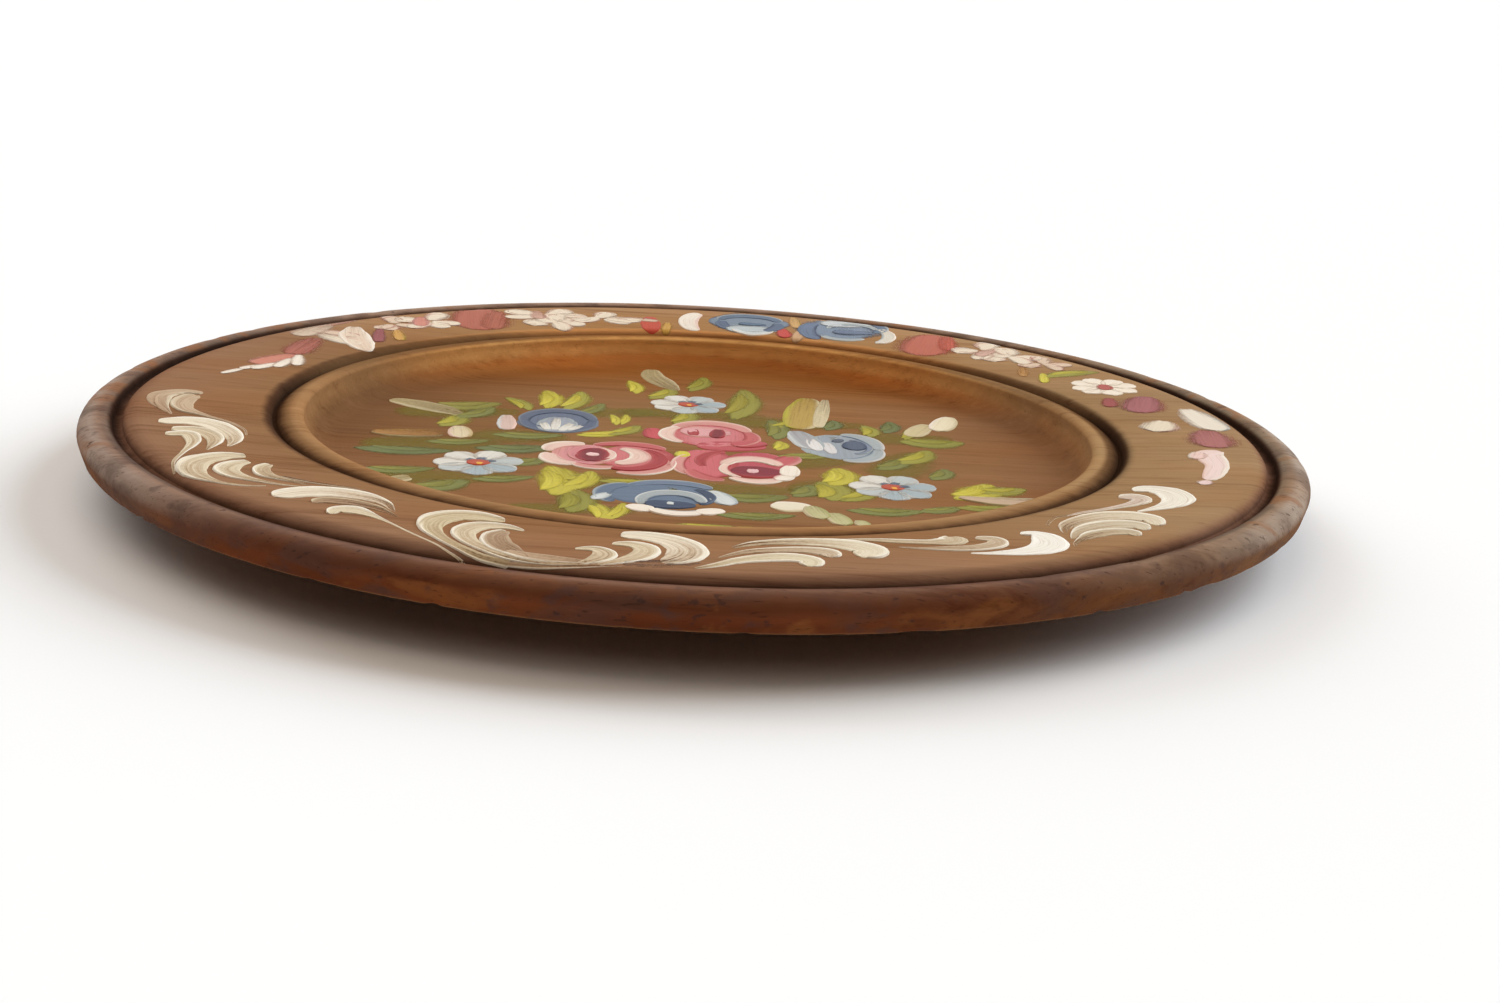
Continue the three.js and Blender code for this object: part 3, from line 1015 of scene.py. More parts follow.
def brushed_paint(name, wear, grain, thinnest, full):
    """Paint that carries the marks of its bristles, as strongly as its grain says.

    Wear is how brown its thin places have gone. It hides nothing at the thinnest load, and all the wood from
    the full load on.
    """
    finish = Finish(name)
    pigment = finish.attribute("pigment", "Color")
    brush = finish.attribute("brush", "Vector")
    cover = finish.attribute("cover", "Fac")
    bristle = finish.cloud(brush, (0.035, 1.5, 1), 2, roughness=0.6)
    fine = finish.cloud(brush, (0.12, 4.5, 1), 2)
    grit = finish.cloud(finish.place(), (1.1, 1.1, 1.1), 3)
    load = cover + (bristle - 0.5) * 0.9 * grain + (fine - 0.5) * 0.35 + (grit - 0.5) * 0.3
    furrow = (bristle * 0.5 + fine * 0.5).between(0.52, 0.3) * 0.5
    worn = (furrow * grain).most(load.between(0.98, 0.5) * wear)
    tone = finish.layered(pigment, (worn, (186, 158, 128)), blend="MULTIPLY")
    tone = finish.layered(tone, (grit.between(0.64, 0.76) * 0.4 * wear, (120, 95, 70)))
    finish.shade(
        Base_Color=tone, Alpha=load.between(thinnest, full), Roughness=0.5 + (fine - 0.5) * 0.2,
        Normal=finish.bump(bristle * 0.7 + fine * 0.35, 0.7, 0.0002), Specular_IOR_Level=0.08,
    )
    return finish.material


# How far the border is shifted and tilted, and from where on the brim's rise spreads it
BORDER_SHIFT = 0.3
BORDER_TILT = 0.01
BORDER_SPREAD = 0.118
SPREAD_START = 124

# Paint that has worn off a scroll, at its start and its end
WORN_OFF = (0.14, 0.08)


def laid(x, y, width):
    """Where a point of the drawn border comes to lie, as the brim rises and spreads outwards."""
    radius = math.hypot(x, y)
    spread = BORDER_SPREAD * max(0, radius - SPREAD_START) if y < 0 else 0
    return x + BORDER_SHIFT, y + spread * y / radius + BORDER_TILT * x, width


def paint_scrolls(material):
    painting = Painting()

    def scroll(*path, left=False, ridge=0.3, ridge_tone=TITANIUM, body=CREAM, cover=(1, 0.6), plain=False):
        """A comma stroke with a raised, paler edge on one side; a plain one has it on both."""
        path = [laid(*point) for point in path]
        both = ridge_tone if plain else body
        cover = (cover[0] - WORN_OFF[0], cover[1] - WORN_OFF[1])
        if left:
            painting.stroke(path, ridge_tone, body, both, (ridge, 0.1), cover)
        else:
            painting.stroke(path, both, body, ridge_tone, (0.1, ridge), cover)

    # Left end: thin beige curls
    scroll((-135, -11.5, 3), (-140.5, -11, 5), (-144.5, -16, 7), (-143.5, -23, 6), (-141, -29, 3.5),
           (-137, -36, 1), left=True, ridge_tone=(214, 198, 170), body=BEIGE, cover=(1.0, 0.6))
    scroll((-136, -14, 4), (-137.5, -19, 6), (-137, -25, 6), (-134, -31, 4.5), (-128, -35.5, 2),
           (-121, -40, 1.2), (-116, -46, 0.8), (-114, -52, 0.6), ridge_tone=(214, 198, 170), body=BEIGE,
           cover=(1.0, 0.6))
    # Second curl
    scroll((-137.5, -45.4, 4), (-130.5, -42.4, 7.6), (-124, -44.5, 8), (-118.5, -51, 6.5), (-115.5, -58, 4),
           (-115.3, -65, 0.8), left=True, body=(230, 216, 190), cover=(1.1, 0.6))
    scroll((-132.5, -52, 4), (-127, -51, 5), (-122, -55, 5.5), (-119.5, -61, 4), (-119.3, -69.5, 0.6),
           left=True)
    scroll((-132.5, -57.5, 3), (-128, -55.5, 4.5), (-125.5, -59, 4.5), (-124, -65, 3), (-124, -73, 1.3),
           (-123.8, -82, 1), (-121.5, -90, 0.5), left=True, cover=(0.95, 0.6))
    # Third curl
    scroll((-109, -74, 2.5), (-114, -75, 6), (-118.5, -80, 8), (-118.5, -86.5, 7.5), (-115.5, -92.5, 5),
           (-110, -97.5, 2.2), (-104, -99.3, 1.4), (-98.5, -98.7, 0.6), ridge=0.36)
    scroll((-107, -78.5, 2), (-110, -82, 5.5), (-110.5, -86.5, 6.5), (-107.5, -91, 5), (-102, -94.5, 2.5),
           (-96, -96.8, 1.2), (-90, -97.8, 0.6))
    scroll((-102, -79.5, 2), (-103, -84, 4.2), (-101, -89, 4.2), (-97, -92, 2.5), (-91, -95, 1.2),
           (-88, -96.5, 0.5), cover=(0.85, 0.5))
    scroll((-97, -90, 1.4), (-89, -93.5, 1.8), (-80, -96, 1.6), (-75, -99, 0.8), cover=(0.55, 0.4),
           body=BEIGE)
    # Fourth curl
    scroll((-95, -107, 6), (-90, -102.8, 8), (-83, -101, 8.3), (-76, -103, 6.5), (-70.5, -107.5, 3.5),
           (-67.2, -114, 0.8), left=True, body=(228, 214, 190), cover=(1.15, 0.5))
    scroll((-85.5, -110.5, 2.5), (-83.5, -108.5, 4), (-78, -109, 4.5), (-72.5, -111.5, 3.5),
           (-68.5, -115, 1.5), (-65.7, -118.3, 0.5), left=True, ridge_tone=CREAM, body=THIN_CREAM,
           cover=(0.75, 0.5))
    scroll((-80, -118.5, 2), (-79.5, -115.5, 4), (-76, -115, 5.5), (-71.5, -118, 2.2), (-66.5, -123, 0.7),
           (-61, -129.5, 0.5), (-56, -135, 0.5), (-51.5, -140, 0.5), (-47, -143.5, 0.4), left=True,
           cover=(1, 0.8))
    # Fifth curl
    scroll((-42.5, -117.5, 2), (-47.5, -115, 6.5), (-53, -114.5, 8), (-57, -118.5, 8), (-57.5, -125, 5.5),
           (-54.5, -131.5, 3.4), (-50, -137.5, 3), (-45, -142, 2.4), (-38, -145, 1.5), ridge=0.42,
           body=(206, 188, 152), cover=(0.95, 0.75))
    scroll((-37.5, -124, 1), (-42.5, -121.8, 3.5), (-47.5, -122.5, 6), (-50, -127, 6), (-48.5, -132.5, 4.5),
           (-44.5, -138, 3.4), (-39, -142.5, 2.8), (-31, -145, 2), (-24, -145.6, 1), ridge=0.36)
    scroll((-41, -125, 2), (-43, -129, 6), (-42, -134, 7), (-39, -138.5, 6), (-35, -143.5, 2),
           body=THIN_CREAM, cover=(0.85, 0.6))
    # Where the fifth and sixth curls meet
    scroll((-40, -139, 1.5), (-36, -141.4, 4), (-31, -142.8, 4.6), (-26, -143.6, 3.4), (-20, -144.6, 1.2),
           ridge=0.1, body=BEIGE, cover=(0.85, 0.6))
    scroll((-40, -144.6, 0.8), (-32, -146, 1.6), (-24, -146.4, 1.5), (-15, -145.6, 0.8), ridge=0.1,
           body=BEIGE, cover=(0.8, 0.55))
    # Sixth curl
    scroll((-16.5, -124, 4), (-11, -123.7, 6.5), (-5, -126.5, 8), (-1.8, -132, 9), (-2.5, -137.5, 8.5),
           (-6.5, -142.5, 4), left=True, ridge=0.42, body=(228, 214, 190), cover=(1.1, 0.6))
    scroll((-18, -130.8, 1.5), (-13, -130.8, 4.5), (-10.3, -134, 6), (-11.5, -138.5, 6),
           (-15.5, -142.5, 3.5), (-20, -145.5, 1.5), left=True)
    scroll((-25.5, -135.5, 1), (-21, -135.3, 3.5), (-19, -138.5, 5.5), (-20.5, -142, 4.5),
           (-24, -145.5, 1.5), left=True)
    scroll((-15, -144, 3), (-9, -143.5, 5), (-3, -142, 5), (1, -140.5, 2), ridge=0.05,
           ridge_tone=(150, 128, 118), body=(138, 112, 102), cover=(0.5, 0.4))
    # Seventh curl
    scroll((36, -132, 6), (38, -127, 8.5), (34, -123, 8.5), (27, -121.8, 6.5), (20, -122.5, 4.5),
           (13, -125, 3), (8, -129, 1), ridge=0.3, body=(222, 208, 180), cover=(1.1, 0.45))
    scroll((29, -133, 4), (28.5, -130, 5.5), (24, -128.6, 4.5), (18, -129.3, 3.5), (12, -131.5, 2.6),
           (7.5, -134.5, 1.2), (5, -137, 0.5), body=(206, 186, 158), cover=(0.95, 0.5))
    scroll((24, -140, 5), (24.5, -136, 6), (20, -134.5, 6.5), (14, -136, 5.5), (9, -138.5, 4),
           (4, -142.5, 2.5), (0, -145, 1), left=True, ridge=0.22, body=(216, 202, 170), cover=(1.1, 0.6),
           plain=True)
    scroll((57, -112.5, 6), (57, -116, 7), (52, -118, 3.5), (45, -118.2, 3), (38, -118, 2),
           (31, -118.6, 0.8), body=(206, 188, 158), cover=(1, 0.6))
    # Eighth curl
    scroll((62.5, -113.2, 2.6), (66.5, -113.5, 4.5), (67, -117, 5), (62.5, -120.5, 4.5), (56, -122.3, 3.8),
           (50, -123, 1.8), (44.5, -122.5, 0.8), left=True, ridge=0.22, body=(204, 184, 156),
           cover=(0.9, 0.6))
    scroll((73.5, -108, 2.5), (76.8, -107.5, 4.5), (79, -110.5, 7.5), (79, -115.5, 8.8), (76, -119.8, 7.2),
           (71, -122.7, 4.5), (65, -124.4, 2), (60, -125, 0.8), ridge=0.26, ridge_tone=(248, 242, 230),
           body=(238, 230, 216), cover=(1.3, 0.9), plain=True)
    # Ninth curl
    scroll((107, -96, 3.5), (107, -91, 6.5), (102, -88.8, 7.8), (96, -89.8, 7.6), (90, -94, 6),
           (86, -98.5, 4.5), (84.3, -103, 2), (84, -106, 0.8), ridge=0.22, body=(216, 200, 172),
           cover=(1.15, 0.5))
    scroll((103.2, -100.5, 3), (102.5, -97, 5.5), (98, -96.8, 7), (93, -99, 6.5), (89, -102.5, 5),
           (86.3, -106.5, 2.5), (85, -110, 0.8), ridge=0.3, body=(206, 190, 162), cover=(1.05, 0.6))
    scroll((100.5, -105.5, 3), (99.5, -103, 4.5), (95, -103.3, 4.8), (90.5, -106, 4.6), (87.5, -109.5, 2.6),
           (85, -113.5, 1), (84.6, -116, 0.5), ridge=0.26, body=(200, 182, 152), cover=(0.95, 0.5))
    scroll((89, -89, 0.8), (84, -92.5, 1.1), (81.5, -98, 0.9), (81, -100, 0.6), ridge=0.12, cover=(0.6, 0.5))
    # Tenth curl
    scroll((108.3, -64.5, 3), (112, -62.5, 6), (116.5, -65, 8.5), (117.8, -70, 9), (116, -75, 7),
           (112, -79.5, 4), (108, -82.5, 2), (105, -84.5, 0.8), left=True, ridge=0.24,
           ridge_tone=(246, 238, 222), body=(234, 224, 206), cover=(1.3, 0.9), plain=True)
    scroll((103.2, -71.8, 3), (106.5, -71, 6), (108.3, -73.5, 5.5), (105.5, -77.3, 3.6), (101, -80.8, 2.4),
           (96, -84, 1.6), (91, -87, 1.3), (87, -90.5, 0.6), left=True, ridge=0.26, body=(210, 190, 172),
           cover=(0.95, 0.8))
    painting.into_piece("brim_scrolls", material)


def paint_roses(material):
    painting = Painting()
    dab, coat, arc = painting.dab, painting.coat, painting.arc

    # Red rose on the left
    coat(-17, -16, 26, 22, 90, (ROSE, (198, 112, 112), CRIMSON))
    coat(-31, -16, 22, 18, 90, (PINK, (204, 136, 136), PINK))
    arc(-34, -12, 7, 6.5, 70, 200, 6, PINK, BLUSH, FRINGE)
    arc(-34, -19, 6.5, 7, 160, 285, 6.5, PINK, BLUSH, FRINGE, layer=3)
    arc(-27, -24, 6.5, 5, 200, 320, 4.6, CRIMSON, PINK, FRINGE)
    arc(-20, -12, 12, 9.5, 30, 140, 5, CRIMSON, ROSE, PINK)
    arc(-18, -20, 10.5, 13.5, -110, 15, 4.5, CRIMSON, PINK, FRINGE)
    arc(-20, -18, 9.5, 11.5, -110, 60, 5, ROSE, CRIMSON, CRIMSON, layer=3)
    arc(-23, -16, 7.2, 8.5, -85, 80, 6.2, FRINGE, BLUSH, PINK, layer=4, ridges=(0.14, 0.03))
    dab(-28.6, -16, 15, 10, 90, (CRIMSON, DEEP_CRIMSON, CRIMSON), layer=3, cover=THICKEST)
    arc(-28.6, -16, 5.6, 7.4, 95, 265, 3, CRIMSON, (200, 128, 130), PINK, layer=4)
    arc(-28.6, -16, 5.2, 7, -70, 80, 2.2, ROSE, BLUSH, FRINGE, layer=5)
    dab(-28.8, -16, 4.4, 3.6, 80, (230, 192, 186), layer=6, cover=THICK)

    # Red rose on the right
    coat(2, -19, 30, 18, 92, (ROSE, (196, 100, 104), CRIMSON))
    coat(16, -17, 26, 20, 90, (CRIMSON, (176, 76, 84), ROSE))
    arc(0, -21, 5.6, 11, 120, 250, 4.2, CRIMSON, PINK, BLUSH)
    arc(5, -22, 8, 13, 200, 285, 5.5, CRIMSON, ROSE, PINK)
    arc(8, -17, 7.5, 11, 95, 210, 4, ROSE, CRIMSON, ROSE)
    dab(24, -12, 13, 8, 65, (CRIMSON, (186, 92, 94), PINK), layer=1)
    arc(15, -24, 9, 11.5, 225, 325, 5, CRIMSON, BLUSH, FRINGE, layer=3)
    dab(24.6, -23, 12, 5.6, 86, FRINGE, layer=4, cover=THICK)
    dab(23, -30, 8, 5, 58, (PINK, FRINGE, FRINGE), layer=4)
    arc(14.6, -23, 8.2, 11, 25, 165, 6, FRINGE, BLUSH, PINK, layer=3, ridges=(0.14, 0.03))
    arc(14.8, -24, 8, 8.5, 145, 245, 3, CRIMSON, BLUSH, FRINGE, layer=5)
    dab(16, -26, 15, 12, 0, (DEEP_CRIMSON, (122, 40, 50), CRIMSON), layer=4, cover=THICKEST)
    dab(14.6, -25, 5.4, 3.4, 84, (224, 180, 178), layer=6, cover=(1.2, 0.9))

    # Red rose at the top
    coat(3, 13, 28, 24, 90, (ROSE, (200, 118, 120), ROSE))
    coat(9, 1, 20, 11, 8, (CRIMSON, (182, 84, 88), CRIMSON))
    dab(-13, 12, 13, 7, 98, (CRIMSON, (190, 82, 86), ROSE), layer=0)
    arc(3, 15, 11, 12, 15, 165, 6.5, ROSE, PINK, BLUSH)
    arc(-2, 12, 7.5, 9.5, 120, 250, 5.2, ROSE, BLUSH, FRINGE, layer=3)
    arc(6, 12, 9, 11, -70, 40, 5.2, CRIMSON, ROSE, PINK)
    dab(1.6, 16, 15, 13, 0, (PINK, (216, 160, 158), PINK), layer=3)
    dab(-2, 15.5, 9, 3.6, 92, CRIMSON, layer=4, cover=(1.1, 0.9))
    dab(5, 15, 11, 4.8, 86, (CRIMSON, DEEP_CRIMSON, CRIMSON), layer=5, cover=(1.1, 0.9))
    dab(14, 4.5, 11, 8, 22, (ROSE, (184, 86, 90), CRIMSON), layer=3)

    # Blue rose at the bottom
    coat(-9, -52, 30, 20, 0, (BLUE, (98, 112, 130), BLUE), STEADY)
    arc(-17, -54, 7, 9, 95, 235, 5.4, BLUE, BLUE, MIST)
    dab(-24, -57, 8, 4.2, 62, (MIST, FROST, MIST), layer=3)
    arc(-7, -52, 13, 11, 35, 145, 5, BLUE, (108, 120, 138), MIST)
    dab(6, -53, 14, 7, 112, (MIST, FROST, MIST), layer=2)
    arc(-5, -54, 8.5, 9, -45, 60, 3.2, DEEP_BLUE, DEEP_BLUE, BLUE, layer=3)
    arc(-6.2, -60, 7.8, 9, 5, 195, 5, BLUE, MIST, FROST, layer=4, ridges=(0.03, 0.14))
    dab(-6.5, -61.5, 13, 8, 0, (BLUE, DEEP_BLUE, DEEP_BLUE), layer=4, cover=THICKEST)
    dab(-6.4, -61, 2.6, 2.4, 0, FROST, layer=6, cover=THICKEST)
    dab(-14, -66, 8, 5.8, 148, FRINGE, layer=4, cover=THICK)
    arc(-4.8, -65, 6.4, 4.6, 195, 345, 4.8, MIST, FRINGE, FRINGE, layer=5)
    dab(3.6, -66.4, 8, 5.4, 28, FRINGE, layer=4, cover=THICK)

    # Blue rose at the upper left
    coat(-41, 21, 27, 23, 90, (BLUE, (96, 103, 120), BLUE))
    arc(-41, 21, 10, 12, 10, 200, 5.4, DEEP_BLUE, (88, 95, 112), (118, 124, 134))
    arc(-41, 21, 10, 12, 190, 370, 5.4, DEEP_BLUE, (84, 93, 112), (118, 124, 134), layer=3)
    dab(-41, 16, 19, 12, 90, (MIST, (150, 154, 162), MIST), layer=3)
    for x, y, length, angle in (
        (-44.4, 14, 11, 104), (-41.4, 17, 16, 91), (-38, 14, 12, 76), (-35.6, 13, 8, 62),
    ):
        dab(x, y, length, 2.8, angle, (222, 216, 204), layer=5, cover=(0.95, 0.6))
    dab(-55.5, 16, 18, 5.6, 96, (FROST, (206, 178, 164), BLUSH), layer=2)

    # Blue and white rose on the right
    coat(40, 7, 29, 23, 92, (MIST, (148, 154, 160), MIST))
    dab(30, 13, 22, 9, 104, (FROST, (164, 162, 162), MIST), layer=2)
    dab(32.4, 8, 14, 4.2, 98, (222, 216, 210), layer=3)
    dab(36.6, 5, 13, 3.6, 96, (214, 208, 204), layer=3)
    arc(42, 6, 8.6, 14, -105, 0, 5.6, BLUE, MIST, (206, 200, 192))
    arc(42, 7, 8.6, 14, -8, 100, 5.6, BLUE, MIST, (206, 200, 192), layer=3)
    dab(44, 9, 11, 7.2, 86, (DEEP_BLUE, (80, 88, 104), DEEP_BLUE), layer=4, cover=STEADY)
    arc(43.4, 7.5, 4.8, 8, -90, 100, 2, DEEP_BLUE, (124, 132, 146), MIST, layer=5)
    dab(39.6, 14, 5, 3, 60, (86, 92, 104), layer=4)
    painting.into_piece("well_roses", material)


def paint_daisies(material):
    painting = Painting()
    pale, cool, grey = (218, 212, 200), (162, 172, 174), (184, 188, 184)
    painting.daisy(-58, -30.5, 11.8, (
        (186, pale), (136, pale), (74, pale), (18, grey), (-34, cool), (-86, cool), (-138, grey),
    ), BLUE)
    painting.daisy(51.5, -34.5, 11.6, (
        (180, pale), (124, pale), (66, grey), (10, cool), (-42, cool), (-92, cool), (-142, grey),
    ), BLUE)
    painting.daisy(-4, 50, 11.4, (
        (176, pale), (118, pale), (62, grey), (8, cool), (-46, cool), (-98, grey), (-146, pale),
    ), BLUE)
    painting.into_piece("well_daisies", material)


def paint_leaves(material, glaze):
    painting = Painting()
    leaf, dab = painting.leaf, painting.dab
    moss = (112, 116, 64)
    deep, shaded, fresh, young = (DARK_LEAF, moss), (moss, LEAF), (LEAF, LIME), (LIME, LEMON)
    wash = Painting()
    for x, y, length, width, angle in (
        (-30, 34, 34, 16, 6), (-2, 38, 40, 14, 4), (28, 32, 40, 16, 6), (56, 20, 34, 16, 10),
        (56, -10, 30, 20, 70), (40, -38, 30, 20, 8), (12, -44, 40, 12, 4), (-26, -44, 26, 16, 8),
        (-64, -46, 34, 16, 8), (-72, -14, 36, 20, 6), (-70, 26, 34, 18, 10), (-30, -70, 30, 10, 4),
        (-50, 0, 26, 18, 8), (32, -12, 26, 14, 20),
    ):
        wash.dab(x, y, length * 1.15, width * 1.3, angle, OLIVE, layer=-0.8, cover=(0.8, 0.6), soft=0.8)
    wash.into_piece("well_glaze", glaze)
    for x, y, length, width, angle, tones in (
        (-70, 36, 20, 12, 20, (LEAF, (140, 132, 56))), (-72, 15, 14, 9, 80, fresh),
        (-66, 26, 16, 8, 60, shaded), (-47, 48, 22, 8, 96, young), (-39, 48, 24, 8, 84, (LEAF, LEMON)),
        (-55, 40, 16, 6, 120, fresh), (-33, 38, 16, 6, 70, shaded), (-25.5, 26, 12, 3.6, 100, young),
        (-22.6, 27, 12, 3.2, 88, young), (-28, 9, 14, 7, 30, young), (-22, 14, 14, 7, 60, fresh),
        (-22, 71, 17, 5.5, 100, young), (-13, 64, 16, 8, 70, fresh), (-6, 33, 16, 8, 80, fresh),
        (-2, 80, 20, 7, 80, (LEAF, (150, 142, 50))), (11, 55, 38, 11, 86, (LEAF, (158, 146, 52))),
        (21, 24, 22, 8, 94, shaded), (24, 32, 14, 6, 60, fresh), (22, 5, 10, 5, 88, young),
        (30, -4, 16, 7, 20, (LEAF, (140, 134, 56))), (38, 33, 12, 6, 80, deep), (55, 34, 14, 6.5, 82, deep),
        (48.5, 28, 13, 6.5, 96, fresh), (60, 26, 12, 4, 84, fresh),
        (67, 19, 17, 12, 8, (LEAF, (146, 140, 52))), (60, 0, 18, 9, 62, fresh), (53, -9, 15, 8, 60, shaded),
        (65, -18, 12, 7, 70, shaded), (36, -26, 17, 11, 84, young), (33, -41, 17, 12, 98, fresh),
        (41, -43, 15, 8, 60, fresh), (27, -42, 12, 8, 70, shaded), (-38, -44, 26, 13, 98, young),
        (-31, -43, 19, 8, 76, young), (-32, -62, 20, 11, 96, (LEAF, (150, 142, 50))),
        (-25, -70, 18, 6, 112, young), (-20, -70, 15, 5, 78, young), (-66, -53, 16, 11, 40, shaded),
        (-78, -40, 18, 8, 12, shaded), (-79, -20, 24, 9, 4, deep), (-50, -12, 20, 10, 14, deep),
        (-47, -26, 13, 8, 30, shaded), (-50, -44, 15, 7, 20, shaded), (-48, 3, 18, 8, 10, shaded),
        (-18, -41, 14, 6, 8, fresh), (14, -50, 18, 9, 12, shaded), (15, -67, 18, 7, 8, shaded),
        (12, -79, 8, 4, 12, young), (2, -78.5, 14, 4, 4, fresh), (48, -57, 18, 8, 8, shaded),
        (62, -53, 12, 6, 30, shaded), (72, -34, 18, 13, 60, young), (80, -31, 14, 9, 20, fresh),
        (76, -49, 18, 7, 10, (LEAF, (150, 142, 56))), (-66, -8, 16, 7, 16, shaded),
    ):
        leaf(x, y, length, width, angle, *tones)
    dab(-4.6, -10.5, 7, 4.4, 90, (LIME, LEMON, LEMON), layer=3)

    # Pale wisps and buds
    wisp, bone = (176, 158, 116), (206, 190, 152)
    painting.stroke([(-17, 98, 5), (-16, 88, 8), (-12, 78, 8), (-8, 69, 3)], bone, wisp, wisp, (0.1, 0.04),
                    THIN)
    painting.stroke([(-92, 37, 5), (-84, 33, 9), (-76, 28, 9), (-69, 22, 3)], wisp, wisp, bone, (0.04, 0.1),
                    THIN)
    dab(-67, 2, 14, 7, 100, (BLUSH, (214, 196, 160), (186, 158, 110)), layer=2)
    painting.stroke([(-91, -3, 4), (-82, -3, 9), (-71, -1, 8)], (170, 128, 62), (164, 118, 62), wisp,
                    cover=(0.85, 0.6), soft=0.4)
    dab(31, 47, 42, 12, 84, (LIME, (176, 146, 74), bone), layer=1, cover=(0.9, 0.7))
    dab(36.5, 48, 38, 4.6, 84, bone, layer=2, cover=(0.9, 0.6))
    dab(73, 42, 20, 8, 74, (FRINGE, (230, 216, 184), bone), layer=3, cover=(1.2, 0.9))
    dab(64.5, 32, 18, 7, 70, (bone, (200, 182, 140), bone), layer=2)
    dab(24, -58, 11, 9, 10, (FRINGE, (226, 214, 188), bone), layer=2, cover=(1.2, 0.9))
    for x, y, length, width in ((30, -62, 12, 6.4), (35.4, -67, 11, 6), (41, -70, 6, 4)):
        dab(x, y, length, width, 104, (bone, (186, 178, 130), (160, 156, 96)), layer=3, cover=(0.95, 0.7))
    painting.stroke([(-73, -49, 6), (-78, -51.5, 4), (-84, -52, 1)], bone, wisp, wisp, cover=THIN)
    painting.stroke([(68, -41, 3), (78, -43, 8), (88, -42, 8), (95, -38, 3)], bone, (194, 166, 138), wisp,
                    cover=(0.95, 0.7), soft=0.4)
    painting.into_piece("well_leaves", material)


